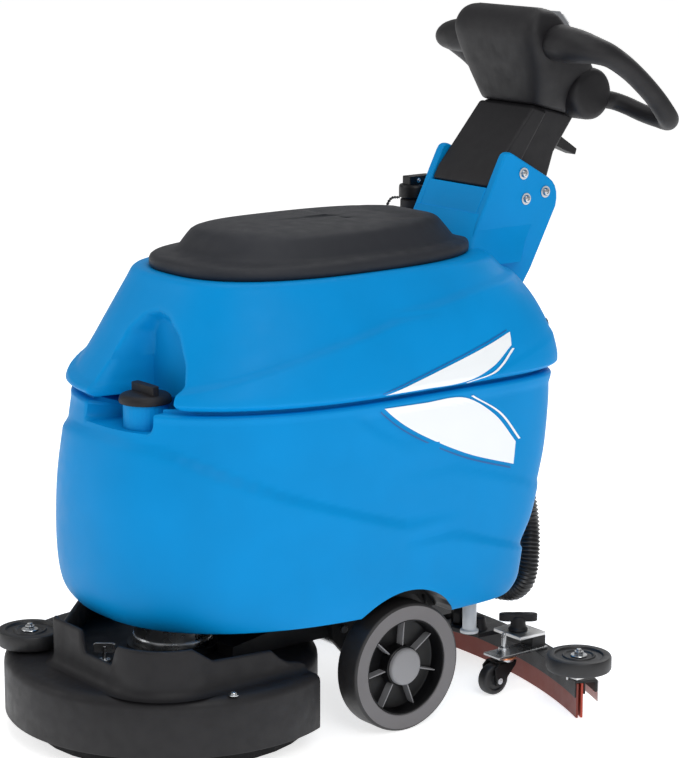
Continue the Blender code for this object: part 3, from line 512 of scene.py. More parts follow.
def film(name, top, bottom, tank, body, finish, lift=0.0012, cross=14):
    """A thin film between two lines of (y, z), laid on both sides of a tank."""
    top = np.array(curve_points([(0, *p) for p in top], 26))[:, 1:]
    bottom = np.array(curve_points([(0, *p) for p in bottom], 26))[:, 1:]
    pick = np.linspace(0, 1, 40)
    a = np.stack([np.interp(pick, np.linspace(0, 1, len(top)), top[:, k]) for k in (0, 1)], 1)
    b = np.stack([np.interp(pick, np.linspace(0, 1, len(bottom)), bottom[:, k]) for k in (0, 1)], 1)
    for side, sign in (("left", 1), ("right", -1)):
        rows = []
        for t in np.linspace(0, 1, cross):
            yz = a * (1 - t) + b * t
            x = side_x(yz[:, 0], yz[:, 1], tank) + lift
            rows.append([(sign * xx, yy, zz) for xx, (yy, zz) in zip(x, yz)])
        put(f"{name}_{side}", skin(rows, wrap=False), body, finish, smooth=0)


def make_films():
    """Two white swooshes meeting at the seam, each with a thin darker line."""
    up_top = [(-0.047, 0.5285), (0.045, 0.5505), (0.135, 0.5725), (0.204, 0.5925)]
    up_low = [(-0.047, 0.5285), (0.03, 0.5285), (0.1, 0.529), (0.158, 0.5455), (0.202, 0.573)]
    film("swoosh_up", up_top, up_low, "upper", "recovery_tank", WHITE)
    film("swoosh_up_line", [(y - 0.006, z + 0.004) for y, z in up_top],
         [(y - 0.006, z + 0.0022) for y, z in up_top],
         "upper", "recovery_tank", DEEP_BLUE, cross=3)
    tail = [(0.108, 0.5275), (0.163, 0.5395), (0.203, 0.5685)]
    film("swoosh_up_tail", tail, [(y + 0.0045, z - 0.0012) for y, z in tail], "upper", "recovery_tank",
         WHITE, cross=3)
    low_top = [(-0.045, 0.5075), (0.03, 0.506), (0.108, 0.504), (0.17, 0.47), (0.216, 0.42)]
    low_low = [(-0.045, 0.5075), (-0.004, 0.476), (0.05, 0.446), (0.124, 0.413), (0.212, 0.385)]
    film("swoosh_low", low_top, low_low, "lower", "chassis", WHITE)
    film("swoosh_low_line", [(y - 0.006, z - 0.0035) for y, z in low_low],
         [(y - 0.006, z - 0.006) for y, z in low_low],
         "lower", "chassis", DEEP_BLUE, cross=3)
    tail = [(0.122, 0.5045), (0.18, 0.47), (0.222, 0.423)]
    film("swoosh_low_tail", tail, [(y + 0.0045, z + 0.0004) for y, z in tail], "lower", "chassis", WHITE,
         cross=3)


def lid_ring(inset, lift, angles):
    """The lid's plan, cut off straight at its hinge, with a wide flange in front of the dome."""
    x, y, z = ring_points((RIM_Z + lift, 0.252 - inset, 0.275 - inset, 0.165 - inset), angles, 2.6, 2.6)
    nose = np.clip(-y / 0.252, 0, 1) ** 2
    y = y + 0.03 * float(step(inset - 0.0215, 0.012)) * nose
    return x, np.minimum(y, 0.2548 - inset * 0.8), z


def make_lid():
    """Grained lid: a rounded flange, a steep dome and a low hand recess at the back."""
    angles = ring_angles(320)
    shape = [(0.012, 0.0006), (0.002, 0.0006), (0.0003, 0.003), (0, 0.008), (0.0003, 0.0125),
             (0.0018, 0.0162),
             (0.005, 0.0188), (0.01, 0.0203), (0.018, 0.0218), (0.0235, 0.0238), (0.027, 0.028),
             (0.033, 0.036),
             (0.041, 0.046), (0.046, 0.0515), (0.052, 0.0552), (0.06, 0.0578), (0.07, 0.0593),
             (0.085, 0.0604),
             (0.1, 0.061), (0.115, 0.0614), (0.13, 0.0617), (0.15, 0.0619)]
    rows = []
    for inset, lift in shape:
        x, y, z = lid_ring(inset, lift, angles)
        z = z - 0.0045 * step(lift - 0.045, 0.02) * step(y - 0.055, 0.012) * step(0.165 - y, 0.02) * step(
            0.075 - np.abs(x), 0.02)
        rows.append(np.stack([x, y, z], 1))
    under = [(0.03, 0.019), (0.054, 0.047), (0.068, 0.054)]
    low = []
    for inset, lift in reversed(under):
        low.append(np.stack(lid_ring(inset, lift, angles), 1))
    put("lid_shell", skin(low + rows, cap_first=True, cap_last=True), "lid", GRAINED, smooth=60,
        replaces=("tank_lid",))


# ---------------------------------------------------------------- neck, console, handles
def make_neck():
    """Front cover and a narrower column behind it."""
    cover = [(0.306, 0.7853), (0.35, 0.7648), (0.364, 0.796), (0.435, 0.896), (0.405, 0.906), (0.3175, 0.806)]
    put("neck_cover", slab(cover, "x", -0.0672, 0.0672), "recovery_tank", BLACK, bevel=0.0055, segments=4)
    column = [(0.33, 0.7742), (0.4396, 0.7232), (0.4465, 0.736), (0.443, 0.79), (0.456, 0.828), (0.5, 0.885),
              (0.41, 0.908), (0.35, 0.82)]
    put("neck_column_body", slab(column, "x", -0.061, 0.061), "recovery_tank", BLACK, bevel=0.006, segments=4,
        replaces=("neck_column",))
    cheek = [(0.462, 0.838), (0.5, 0.834), (0.507, 0.845), (0.5, 0.856), (0.48, 0.858)]
    for side, sign in (("left", 1), ("right", -1)):
        low, high = sorted((sign * 0.0125, sign * 0.018))
        put(f"lever_cheek_{side}", slab(cheek, "x", low, high), "recovery_tank", BLACK, bevel=0.001)
    put("lever_pin_fine", lathe([(0, 0.019), (0.003, 0.019), (0.003, -0.019), (0, -0.019)],
                                (0, 0.497, 0.845), "x", 20),
        "recovery_tank", ZINC)


def section(front, back, half, power, count=72):
    """A rounded cross-section of the head between a front and a back point of (y, z)."""
    front, back = Vector(front), Vector(back)
    middle, reach = (front + back) / 2, (front - back) / 2
    out = []
    for k in range(count):
        a = 2 * math.pi * (k + 0.5) / count
        c, s = math.cos(a), math.sin(a)
        u = math.copysign(abs(c) ** (2 / power), c)
        v = math.copysign(abs(s) ** (2 / power), s)
        spot = middle + reach * v
        out.append((half * u, spot.x, spot.y))
    return out


def make_console():
    """Steering head as one rounded form, wider at its top, with a round boss behind for the handles."""
    table = [(0.4085, 0.9085, 0.4985, 0.8845, 0.066, 6), (0.403, 0.913, 0.512, 0.89, 0.073, 6),
             (0.395, 0.936, 0.533, 0.906, 0.084, 6), (0.386, 0.962, 0.532, 0.934, 0.0935, 6),
             (0.375, 0.99, 0.516, 0.964, 0.099, 6), (0.3668, 1.013, 0.495, 0.988, 0.1005, 6),
             (0.365, 1.029, 0.472, 1.013, 0.1, 6), (0.37, 1.043, 0.453, 1.033, 0.0975, 5.5),
             (0.379, 1.054, 0.441, 1.0475, 0.093, 5), (0.39, 1.0605, 0.43, 1.056, 0.084, 4.5),
             (0.399, 1.0628, 0.42, 1.0605, 0.068, 4)]
    rows = [section(r[0:2], r[2:4], r[4], r[5]) for r in blur_rows(table, 5)]
    put("console_shell", skin(rows, cap_first=True, cap_last=True), "recovery_tank", BLACK, smooth=60,
        replaces=("console",))
    boss = [(0, 0.1015), (0.03, 0.1015), (0.037, 0.0995), (0.041, 0.095), (0.042, 0.088), (0.042, -0.088),
            (0.041, -0.095), (0.037, -0.0995), (0.03, -0.1015), (0, -0.1015)]
    put("console_boss", lathe(boss, (0, 0.502, 0.922), "x", 48), "recovery_tank", BLACK, smooth=50)
    grip = [(0.06, 0.43, 1.008), (0.1, 0.427, 1.007), (0.135, 0.424, 1.005), (0.158, 0.427, 1.003),
            (0.176, 0.437, 0.999), (0.188, 0.458, 0.989), (0.193, 0.497, 0.963), (0.196, 0.54, 0.926),
            (0.1955, 0.57, 0.8945), (0.184, 0.587, 0.882), (0.16, 0.588, 0.883), (0.13, 0.583, 0.889),
            (0.104, 0.576, 0.898), (0.084, 0.562, 0.906), (0.076, 0.535, 0.911)]
    high = [0.03, 0.029, 0.0275, 0.0245, 0.0205, 0.018, 0.0165, 0.016, 0.0165, 0.0165, 0.015, 0.0145,
            0.0145, 0.0145, 0.0145]
    wide = [0.036, 0.037, 0.036, 0.032, 0.025, 0.0195, 0.017, 0.016, 0.0165, 0.0165, 0.015, 0.0145, 0.0145,
            0.0145, 0.0145]
    for side, sign in (("left", 1), ("right", -1)):
        path = curve_points([(sign * x, y, z) for x, y, z in grip], 8)
        spots = np.linspace(0, len(grip) - 1, len(path))
        radii = list(zip(np.interp(spots, range(len(grip)), high), np.interp(spots, range(len(grip)), wide)))
        put(f"handle_{side}_fine", sweep(path, radii, 28), "recovery_tank", BLACK, smooth=60,
            replaces=(f"handle_{side}",))


# ---------------------------------------------------------------- deck
def deck_ring(inset, z):
    """Deck plan: a wide front arc, straight returns, and a narrower guard arc behind."""
    outer, inner, cut_y = 0.2566 - inset, 0.2225 - inset, 0.1065 - inset
    wide = math.degrees(math.asin(cut_y / outer))
    tight = math.degrees(math.asin(cut_y / inner))
    front = arc((0, DECK_Y), outer, 180 - wide, 360 + wide, 110)
    back = arc((0, DECK_Y), inner, tight, 180 - tight, 40)
    return [(x, y, z) for x, y in front + back]


def rounded_path(corners, pace=0.004):
    """Points along an open path of (x, y, radius) corners."""
    pts = [Vector(c[:2]) for c in corners]
    out = [pts[0]]
    for k in range(1, len(pts) - 1):
        a, b, c, r = pts[k - 1], pts[k], pts[k + 1], corners[k][2]
        u, v = (a - b).normalized(), (c - b).normalized()
        reach = r / math.tan(u.angle(v) / 2)
        p, q = b + u * reach, b + v * reach
        centre = b + (u + v).normalized() * (r / math.sin(u.angle(v) / 2))
        for t in np.linspace(0, 1, max(4, int(r / 0.003))):
            spot = p.lerp(q, t)
            out.append(centre + (spot - centre).normalized() * r)
    out.append(pts[-1])
    dense = [out[0]]
    for a, b in zip(out, out[1:]):
        count = max(1, int((b - a).length / pace))
        dense += [a.lerp(b, (i + 1) / count) for i in range(count)]
    return dense


def wall_height(p):
    """Top of the raised wall at a place in the plan."""
    far = 0.1636 if p.x < -0.05 else 0.19
    if abs(p.x) > 0.15:
        side = np.interp(p.y, [-0.365, -0.329, -0.225, -0.21, -0.196, -0.173, -0.165],
                         [0.19, 0.166, 0.161, 0.147, 0.138, 0.133, 0.128])
        return min(far, float(side))
    notch = float(step(p.x - 0.04, 0.012) * step(0.126 - p.x, 0.02)) if p.y < -0.4 else 0.0
    return min(far, 0.19 - 0.033 * notch)


def make_deck():
    rows = [deck_ring(i, z) for i, z in ((0.012, 0.113), (0.0055, 0.106), (0.0055, 0.0303),
        (0.0012, 0.0303), (0, 0.032),
        (0, 0.104), (0.0006, 0.1085), (0.0024, 0.1125), (0.0055, 0.1158),
        (0.0095, 0.118), (0.0145, 0.1193), (0.02, 0.1198), (0.03, 0.12))]
    body = skin(rows, cap_first=True, cap_last=True)
    path = rounded_path([(0.215, -0.165, 0), (0.215, -0.445, 0.09), (-0.04, -0.445, 0.016),
                         (-0.19, -0.3, 0.03),
                         (-0.205, -0.165, 0)])
    wall = []
    for k, p in enumerate(path):
        along = (path[min(k + 1, len(path) - 1)] - path[max(k - 1, 0)]).normalized()
        out = Vector((-along.y, along.x)) * -1
        if out.dot(p - Vector((0.0, -0.25))) < 0:
            out = -out
        top = wall_height(p)
        profile = [(0.016, 0.1195), (0.0095, 0.1206), (0.005, 0.123), (0.002, 0.1265), (0.0005, 0.131),
                   (0.0, min(0.137, top - 0.004)), (0.0, top - 0.004), (-0.0008, top - 0.0015),
                   (-0.0025, top),
                   (-0.0055, top), (-0.0072, top - 0.0015), (-0.008, top - 0.004), (-0.008, 0.1195)]
        wall.append([(*(p + out * d), min(z, top)) for d, z in profile])
    put("deck_shell", merge(body, skin(wall, cap_first=True, cap_last=True)), "deck", BLACK, smooth=50,
        replaces=("deck_housing",))
    put("bumper_stud", lathe([(0, 0.031), (0.004, 0.031), (0.004, -0.003), (0.014, -0.003), (0.014, -0.008),
                              (0, -0.008)],
                             BUMPER_AT, "z", 32), "deck", ZINC)
    screw("deck_screw_left", (0.243, -0.315, 0.1195), "z", 0.0055, "deck")
    # silver motor bands, wing bolt
    band = [(0.0605, 0.128), (0.0615, 0.13), (0.0615, 0.139), (0.0605, 0.141), (0.0585, 0.141),
            (0.0585, 0.176),
            (0.054, 0.181), (0.046, 0.1828), (0.02, 0.183), (0, 0.183)]
    put("motor_can", lathe([(0, 0.1285), (0.0605, 0.1285)] + band, (0, DECK_Y, 0), "z", 64), "deck", ZINC,
        replaces=("brush_motor",))
    base = Vector((0.004, -0.382, 0.1203))
    stem = lathe([(0, 0.024), (0.0035, 0.024), (0.0035, 0.004), (0.009, 0.004), (0.009, 0), (0, 0)], base,
                 "z", 28)
    head = slab([(-0.016, 0.016), (-0.012, 0.014), (0.012, 0.014), (0.016, 0.016), (0.0165, 0.027),
                 (0.013, 0.0295),
                 (-0.013, 0.0295), (-0.0165, 0.027)], "y", -0.0022, 0.0022)
    for v in head.verts:
        v.co = HAND_TURN @ v.co + base
    put("wing_bolt_fine", merge(stem, head), "wing_bolt", ZINC, bevel=0.0007, replaces=("deck_wing_bolt",))


def disc_roller(name, at, body, node):
    """A rubber roller with a stepped hub."""
    roller = [(0.0046, 0.0215), (0.02, 0.0215), (0.0225, 0.0235), (0.0245, 0.0235), (0.026, 0.0215),
              (0.036, 0.021),
              (0.0375, 0.024), (0.045, 0.0248), (0.0485, 0.0235), (0.05, 0.0205), (0.05, 0.0045),
              (0.0485, 0.0015),
              (0.045, 0.0002), (0.0046, 0.0002), (0.0046, 0.0215)]
    put(name, lathe(roller, at, "z", 72), body, RUBBER, smooth=35, replaces=(node,))


def stud_top(name, at, body):
    """Washer and nut on top of a roller's stud."""
    x, y, z = at
    put(name + "_washer", lathe([(0.0047, 0.0222), (0.0125, 0.0222), (0.013, 0.0228), (0.0125, 0.0236),
                                 (0.0047, 0.0236)],
                                at, "z", 36), body, ZINC)
    nut = [(x + 0.0078 * math.cos(a),
            y + 0.0078 * math.sin(a)) for a in (math.pi / 3 * k + 0.3 for k in range(6))]
    put(name + "_nut", slab(nut, "z", z + 0.0237, z + 0.029), body, ZINC, bevel=0.0006)
    put(name + "_stud", lathe([(0, 0.0325), (0.0034, 0.0325), (0.004, 0.0318), (0.004, 0.026), (0, 0.026)],
                              at, "z", 24),
        body, ZINC)


# ---------------------------------------------------------------- wheels
def make_wheels():
    for side, sign, axis in (("left", 1, "x"), ("right", -1, "-x")):
        at = (sign * WHEEL_X, 0, WHEEL_RADIUS)
        body = f"wheel_{side}"
        tread = [(0.096, 0.023), (0.0982, 0.0222), (0.0995, 0.0205), (0.1, 0.018), (0.1, -0.018),
                 (0.0995, -0.0205), (0.0982, -0.0222), (0.096, -0.023)]
        face = [(0.096, -0.023), (0.0745, -0.023), (0.0745, 0.0218), (0.0757, 0.023), (0.096, 0.023)]
        put(f"tyre_tread_{side}", lathe(tread, at, axis, 96), body, TYRE_SIDE,
            replaces=(f"wheel_tyre_{side}",))
        put(f"tyre_face_{side}", lathe(face, at, axis, 96), body, TYRE)
        rim = [(0.011, -0.02), (0.027, -0.02), (0.029, -0.01), (0.066, -0.01), (0.0705, -0.02),
               (0.0742, -0.0205), (0.0742, 0.0205), (0.0736, 0.0214), (0.0726, 0.0214), (0.0718, 0.02),
               (0.0706, 0.004), (0.0692, -0.003), (0.066, -0.005), (0.032, -0.005), (0.031, 0.013),
               (0.0295, 0.0145), (0.011, 0.0145), (0.011, -0.02)]
        put(f"rim_dish_{side}", lathe(rim, at, axis, 96), body, SATIN_AND_SHADE, replaces=(f"wheel_rim_{side}",))
        for k in range(7):
            turn = 2 * math.pi * k / 7 + 0.59
            fin = slab([(0.03, -0.0011), (0.07, -0.0009), (0.07, 0.0009), (0.03, 0.0011)], "z", -0.0055,
                       0.0085)
            spin = Matrix.Rotation(turn, 3, "X") @ Matrix(((0, 0, sign), (1, 0, 0), (0, 1, 0)))
            for v in fin.verts:
                v.co = spin @ v.co + Vector(at)
            put(f"rim_rib_{side}_{k}", fin, body, HUB, smooth=0, bevel=0.0003, segments=1)
        cap = [(0, 0.0222), (0.024, 0.0222), (0.0268, 0.0214), (0.0284, 0.0195), (0.0288, 0.015), (0, 0.015)]
        put(f"hub_cap_{side}", lathe(cap, at, axis, 64), body, HUB, replaces=(f"wheel_cap_{side}",))


# ---------------------------------------------------------------- squeegee
def band(inner, outer, low, high, turn=23.6):
    centre = (0, BLADE_ARC_Y)
    outline = arc(centre, outer, 90 - turn, 90 + turn, 72) + arc(centre, inner, 90 + turn, 90 - turn, 72)
    return slab(outline, "z", low, high)


def make_squeegee():
    body = "squeegee"
    put("front_blade_fine", band(0.925, 0.9285, 0.0003, 0.056), body, RED_DARK, bevel=0.0004, segments=1,
        replaces=("front_blade",))
    put("rear_blade_fine", band(0.9325, 0.936, 0.0003, 0.056), body, RED, bevel=0.0004, segments=1,
        replaces=("rear_blade",))
    put("strap_fine", band(0.9594, 0.9614, 0.024, 0.058), body, ALUMINIUM, bevel=0.0005, segments=1,
        replaces=("blade_strap",))
    channel = merge(band(0.9226, 0.9585, 0.0565, 0.06), band(0.9365, 0.9395, 0.038, 0.057),
                    band(0.955, 0.9585, 0.04, 0.057), band(0.9226, 0.9246, 0.033, 0.057))
    put("channel", channel, body, DARK_STEEL, bevel=0.0005, segments=1, replaces=("squeegee_body",))
    for side, sign in (("left", 1), ("right", -1)):
        low, high = sorted((sign * 0.15, sign * 0.215))
        put(f"knob_plate_{side}", block((low, 0.264, 0.08), (high, 0.318, 0.086)), body, ALUMINIUM,
            bevel=0.0012)
        put(f"knob_plate_web_{side}", block((low, 0.29, 0.0595), (high, 0.318, 0.0805)), body, DARK_STEEL,
            bevel=0.001)
        low, high = sorted((sign * 0.186, sign * 0.224))
        put(f"caster_tab_{side}", block((low, 0.212, 0.0602), (high, 0.315, 0.0645)), body, ZINC, bevel=0.001)
        low, high = sorted((sign * 0.35, sign * 0.4))
        put(f"end_tab_{side}", block((low, 0.214, 0.075), (high, 0.262, 0.079)), body, ALUMINIUM, bevel=0.001)
        low, high = sorted((sign * 0.352, sign * 0.356))
        put(f"end_tab_web_{side}", block((low, 0.236, 0.059), (high, 0.262, 0.076)), body, ALUMINIUM,
            bevel=0.0008)
        x = sign * 0.205
        bolt = lathe([(0, 0.096), (0.003, 0.096), (0.0036, 0.095), (0.0036, 0.073), (0.0085, 0.073),
                      (0.0085, 0.0665), (0.011, 0.0665), (0.011, 0.0646), (0, 0.0646)], (x, 0.238, 0), "z",
                      30)
        put(f"caster_bolt_{side}", bolt, body, ZINC)
        at = (sign * 0.385, 0.231, 0.086)
        disc_roller(f"end_roller_{side}_fine", at, f"end_roller_{side}", f"end_roller_{side}")
        stud_top(f"end_roller_top_{side}", at, body)
        boss = [(0.014, -0.001), (0.014, -0.008), (0, -0.008), (0, 0.026), (0.004, 0.026), (0.004, -0.001),
                (0.014, -0.001)]
        put(f"end_roller_boss_{side}", lathe(boss, at, "z", 30), body, ZINC)
        at = Vector((sign * 0.182, 0.288, 0.0863))
        hub = lathe([(0, 0.0235), (0.0085, 0.0235), (0.0115, 0.0215), (0.0125, 0.006), (0.0155, 0.003),
                     (0.016, 0), (0, 0)],
                    at, "z", 40)
        outline = []
        for k in range(48):
            a = 2 * math.pi * k / 48
            r = 0.0105 + 0.0205 * abs(math.cos(a)) ** 6
            spot = at + HAND_TURN @ Vector((r * math.cos(a), 0.8 * r * math.sin(a), 0))
            outline.append((spot.x, spot.y))
        wings = slab(outline, "z", at.z + 0.015, at.z + 0.0275)
        put(f"knob_{side}", merge(hub, wings), f"squeegee_knob_{side}", BLACK, bevel=0.0018, smooth=40,
            replaces=(f"squeegee_knob_{side}",))
    put("mount_plate", slab([(-0.12, 0.332), (-0.116, 0.262), (-0.045, 0.248), (0.045, 0.248),
                             (0.116, 0.262), (0.12, 0.332)],
                            "z", 0.0595, 0.0675), body, DARK_STEEL, bevel=0.0012)
    soften("squeegee_arm", body, DARK_STEEL, 0.0015)
    post = [(0, 0.056), (0.0105, 0.056), (0.0115, 0.0545), (0.0115, 0.006), (0.015, 0.004), (0.015, 0),
            (0, 0)]
    put("stop_post_fine", lathe(post, (0.1, 0.256, 0.0678), "z", 40), body, WHITE, replaces=("stop_post",))
    at = Vector((0.096, 0.28, 0.0678))
    hub = lathe([(0, 0.021), (0.008, 0.021), (0.0105, 0.019), (0.0125, 0.004), (0.0145, 0), (0, 0)], at,
                "z", 32)
    put("angle_knob_fine", hub, "angle_knob", BLACK, replaces=("angle_knob",))


def make_casters():
    for side, sign in (("left", 1), ("right", -1)):
        x, y = sign * 0.205, 0.238
        fork = f"caster_{side}"
        put(f"swivel_ring_{side}", lathe([(0, 0.0596), (0.0195, 0.0596), (0.0205, 0.058), (0.0195, 0.0566),
            (0, 0.0566)],
            (x, y, 0), "z", 40), fork, COPPER)
        put(f"swivel_cup_{side}", lathe([(0, 0.0566), (0.0185, 0.0566), (0.0175, 0.0525), (0.012, 0.05),
            (0, 0.05)],
            (x, y, 0), "z", 40), fork, ZINC)
        leg = [(0.21, 0.017), (0.216, 0.0145), (0.223, 0.017), (0.25, 0.046), (0.252, 0.0535),
               (0.216, 0.0535),
               (0.207, 0.046)]
        sides = [slab(leg, "x", x + a, x + a + 0.003) for a in (-0.016, 0.013)]
        bridge = block((x - 0.016, 0.216, 0.0505), (x + 0.016, 0.25, 0.0535))
        pin = lathe([(0, 0.0185), (0.005, 0.0185), (0.005, 0.016), (0.0032, 0.016), (0.0032, -0.016),
                     (0.005, -0.016),
                     (0.005, -0.0185), (0, -0.0185)], (x, 0.216, 0.025), "x", 24)
        put(f"caster_fork_{side}_fine", merge(*sides, bridge), fork, SATIN_AND_SHADE, bevel=0.0007, segments=2,
            replaces=(f"caster_fork_{side}",))
        put(f"caster_pin_{side}", pin, fork, ZINC)
        wheel = [(0.004, 0.01), (0.0085, 0.01), (0.0095, 0.0075), (0.016, 0.007), (0.0175, 0.0092),
                 (0.0205, 0.0098), (0.0232, 0.0088), (0.0246, 0.0066), (0.025, 0.004), (0.025, -0.004),
                 (0.0246, -0.0066), (0.0232, -0.0088), (0.0205, -0.0098), (0.0175, -0.0092), (0.016, -0.007),
                 (0.0095, -0.0075), (0.0085, -0.01), (0.004, -0.01), (0.004, 0.01)]
        put(f"caster_wheel_{side}_fine", lathe(wheel, (x, 0.216, 0.025), "x", 64), f"caster_wheel_{side}",
            RUBBER,
            replaces=(f"caster_wheel_{side}",))


# ---------------------------------------------------------------- hose
HOSE_LOW = [(0.0707, 0.3038, 0.1226), (0.079, 0.3155, 0.1274), (0.1, 0.327, 0.1265), (0.122, 0.333, 0.131),
            (0.139, 0.337, 0.149), (0.145, 0.34, 0.178), (0.143, 0.344, 0.212), (0.135, 0.349, 0.245),
            (0.122, 0.354, 0.276), (0.106, 0.358, 0.302), (0.092, 0.361, 0.325), (0.084, 0.362, 0.345),
            (0.084, 0.362, 0.3597)]
RIB_PITCH = 0.0062
HOSE_HIGH = [(0.084, 0.362, 0.4053), (0.084, 0.362, 0.43), (0.085, 0.365, 0.46), (0.086, 0.366, 0.49),
             (0.086, 0.366, 0.515), (0.086, 0.366, 0.5397)]


def ribbed(name, route, replaced):
    """A ribbed hose along a route, with its centreline."""
    line = curve_points(route, 40)
    total = sum((b - a).length for a, b in zip(line, line[1:]))
    gone = np.concatenate([[0], np.cumsum([(b - a).length for a, b in zip(line, line[1:])])])
    count = int(total / 0.00125)
    spots = np.linspace(0, total, count)
    xyz = np.array(line)
    even = np.stack([np.interp(spots, gone, xyz[:, k]) for k in range(3)], 1)
    radii = [(0.0165 + 0.0015 * math.cos(2 * math.pi * s / RIB_PITCH),) * 2 for s in spots]
    piece = put(name, sweep([Vector(p) for p in even], radii, 28, up=(1, 0, 0)), None, HOSE, smooth=60)
    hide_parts(replaced)
    return piece, [tuple(Vector(p) + SHIFT) for p in even[::3]], total


def make_hose():
    low, line, total = ribbed("hose_low_ribbed", HOSE_LOW, "vacuum_hose_low")
    end = tuple(Vector(HOSE_LOW[-1]) + SHIFT)
    if line[-1] != end:
        line.append(end)
    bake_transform(low)
    high, _, _ = ribbed("hose_high_ribbed", HOSE_HIGH, "vacuum_hose_high")
    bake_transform(high)
    cuff = [(0, 0.405), (0.019, 0.405), (0.0208, 0.403), (0.0208, 0.386), (0.0196, 0.384), (0.0196, 0.381),
            (0.0208, 0.379),
            (0.0208, 0.362), (0.019, 0.36), (0, 0.36)]
    put("coupling_fine", merge(lathe(cuff, (0.084, 0.362, 0), "z", 48),
                               block((0.074, 0.3335, 0.368), (0.094, 0.35, 0.397))),
        "chassis", BLACK, bevel=0.001, replaces=("hose_coupling",))


# ---------------------------------------------------------------- fittings
def make_fittings():
    at = (0.058, -0.338, 0.523)
    disc = [(0, 0.015), (0.02, 0.015), (0.03, 0.014), (0.035, 0.0125), (0.038, 0.0095), (0.039, 0.006),
            (0.039, 0.0006), (0, 0.0006)]
    grip = slab([(-0.028, -0.0055), (-0.024, -0.0075), (0.024, -0.0075), (0.028, -0.0055), (0.028, 0.0055),
                 (0.024, 0.0075), (-0.024, 0.0075), (-0.028, 0.0055)], "z", 0.012, 0.0275)
    bmesh.ops.translate(grip, verts=grip.verts, vec=at)
    put("filler_cap_fine", merge(lathe(disc, at, "z", 72), grip), "filler_cap", BLACK, bevel=0.0018,
        replaces=("filler_cap",))
    hinge = (-0.125, 0.345, 0.75)
    cap = lathe([(0, 0.768), (0.0235, 0.768), (0.0255, 0.766), (0.026, 0.763), (0.026, 0.7466), (0, 0.7466)],
                (-0.125, 0.318, 0), "z", 56)
    lever = block((-0.135, 0.3, 0.765), (-0.115, 0.349, 0.782))
    put("drain_cap_fine", merge(cap, lever), "drain_cap", SATIN_AND_SHADE, bevel=0.0016, replaces=("drain_cap",))
    for k, z in enumerate((0.757, 0.775)):
        screw(f"drain_cap_screw_{k}", (-0.125 + 0.0262 * (1 - k) + 0.0102 * k, 0.318, z), "x", 0.0026,
              "drain_cap")
    strap = curve_points([(-0.15, 0.3, 0.7035), (-0.158, 0.292, 0.712), (-0.162, 0.29, 0.728),
                          (-0.158, 0.296, 0.742),
                          (-0.149, 0.306, 0.744)], 14)
    radii = [(0.0016 + 0.001 * (k % 4 < 2), 0.0075) for k in range(len(strap))]
    put("cap_strap", sweep(strap, radii, 12), "recovery_tank", RUBBER)
    put("drain_port_fine", lathe([(0, 0.746), (0.02, 0.746), (0.0235, 0.7425), (0.024, 0.705),
                                  (0.0275, 0.704),
        (0.0275, 0.7003), (0, 0.7003)], (-0.125, 0.318, 0), "z", 48), "recovery_tank", BLACK,
        replaces=("drain_port",))
    loop = curve_points([(0.16, 0.332, 0.562), (0.166, 0.343, 0.56), (0.172, 0.346, 0.57),
                         (0.174, 0.342, 0.584),
                         (0.17, 0.326, 0.592)], 10)
    put("rear_lead", sweep(loop, [(0.0022, 0.0022)] * len(loop), 12), "recovery_tank", RUBBER)


def place_camera():
    """The camera, where the whole machine is seen from its front left."""
    lens = bpy.data.cameras.new("camera")
    lens.lens = 123.04
    lens.sensor_width = 36
    lens.shift_x = 0.0441
    lens.shift_y = 0.0439
    eye = Vector((3.1413, -2.3749, 1.3584)) + SHIFT
    aim = Vector((0, 0, 0.45)) + SHIFT
    obj = bpy.data.objects.new("camera", lens)
    obj.matrix_world = Matrix.Translation(eye) @ (aim - eye).to_track_quat("-Z", "Y").to_matrix().to_4x4()
    bpy.context.scene.collection.objects.link(obj)
    bpy.context.scene.camera = obj


def area_light(name, at, size, power, aim=(0, 0, 0.5)):
    lamp = bpy.data.lights.new(name, "AREA")
    lamp.shape = "RECTANGLE"
    lamp.size, lamp.size_y = size
    lamp.energy = power
    obj = bpy.data.objects.new(name, lamp)
    at = Vector(at)
    obj.matrix_world = Matrix.Translation(at) @ (Vector(aim) - at).to_track_quat("-Z",
        "Y").to_matrix().to_4x4()
    bpy.context.scene.collection.objects.link(obj)


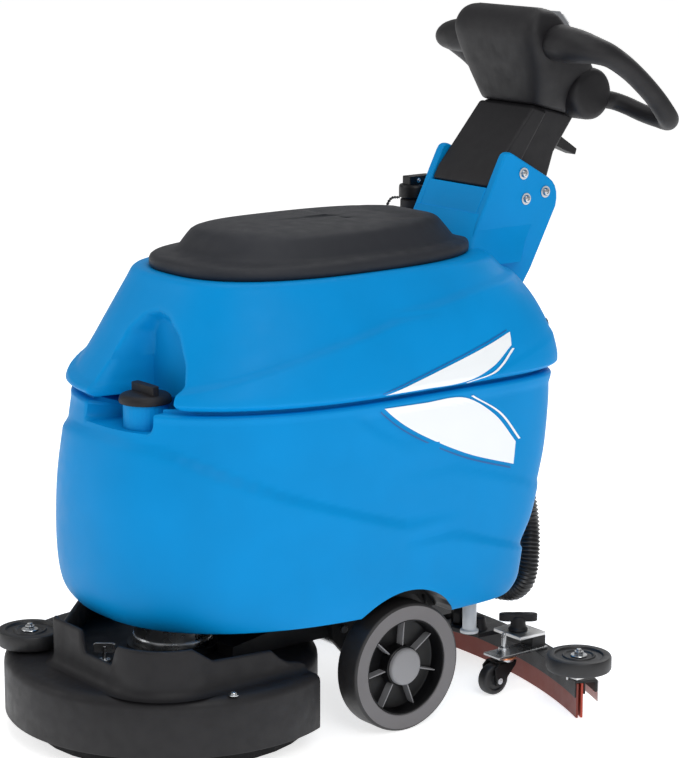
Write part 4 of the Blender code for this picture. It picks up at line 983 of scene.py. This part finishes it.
def make_studio():
    area_light("key", (3.6, -1.4, 3.2), (2.4, 2.4), 72)
    area_light("front", (-2.6, -3.6, 2.6), (2.4, 2.4), 40)
    area_light("top", (0, 0, 4.2), (3.0, 3.0), 46)
    area_light("back", (-1.5, 3.6, 2.8), (2.4, 2.0), 42)
    world = bpy.data.worlds.new("studio")
    world.use_nodes = True
    tree = world.node_tree
    tree.nodes["Background"].inputs["Color"].default_value = (1, 1, 1, 1)
    tree.nodes["Background"].inputs["Strength"].default_value = 0.33
    bright = tree.nodes.new("ShaderNodeBackground")
    mix = tree.nodes.new("ShaderNodeMixShader")
    path = tree.nodes.new("ShaderNodeLightPath")
    tree.links.new(path.outputs["Is Camera Ray"], mix.inputs["Fac"])
    tree.links.new(tree.nodes["Background"].outputs["Background"], mix.inputs[1])
    tree.links.new(bright.outputs["Background"], mix.inputs[2])
    tree.links.new(mix.outputs["Shader"], tree.nodes["World Output"].inputs["Surface"])
    bright.inputs["Color"].default_value = (1, 1, 1, 1)
    bright.inputs["Strength"].default_value = 1.0
    bpy.context.scene.world = world
    bm = bmesh.new()
    bmesh.ops.create_grid(bm, x_segments=2, y_segments=2, size=60)
    data = bpy.data.meshes.new("floor")
    bm.to_mesh(data)
    bm.free()
    paper = surface("studio floor", (246, 246, 246), 0.9, (60, 0.01), tone=0.004, specular=0.0)
    paper.node_tree.nodes["Principled BSDF"].inputs["Emission Color"].default_value = (1, 1, 1, 1)
    paper.node_tree.nodes["Principled BSDF"].inputs["Emission Strength"].default_value = 0.7
    data.materials.append(paper)
    floor = bpy.data.objects.new("floor", data)
    floor.location.z = -0.0005
    bpy.context.scene.collection.objects.link(floor)
    bpy.context.scene.view_settings.view_transform = "Standard"


place_camera()
make_hose()
make_studio()
make_upper_tank()
make_saddle()
make_lower_tank()
make_films()
make_lid()
make_neck()
make_console()
make_deck()
disc_roller("bumper_roller_fine", BUMPER_AT, "bumper_roller", "bumper_roller")
stud_top("bumper_top", BUMPER_AT, "deck")
make_wheels()
make_squeegee()
make_casters()
make_fittings()
soften("chassis_frame", "chassis", DARK_STEEL, 0.001)
soften("deck_arm", "deck", DARK_STEEL, 0.0012)
soften("vacuum_inlet", "recovery_tank", BLACK, 0.0015)
soften("squeegee_lever", "squeegee_lever", BLACK, 0.0015)
soften("control_panel", "recovery_tank", DIAL, 0.0012)
soften("battery_left", "chassis", BATTERY, 0.003)
soften("battery_right", "chassis", BATTERY, 0.003)
paint(BLUE, "filler_neck")
paint(SATIN_AND_SHADE, "suction_spigot", "brush_block")
paint(DARK_STEEL, "vacuum_motor", "brush_gearbox", "tank_hinge_low", "tank_hinge_high")
paint(ZINC, "axle", "deck_pivot_pin", "squeegee_pivot_pin", "key_switch")
paint(BRISTLE, "brush_bristles")
paint(HUB, "float_filter")
paint(GREEN, "brush_button", "vacuum_button")
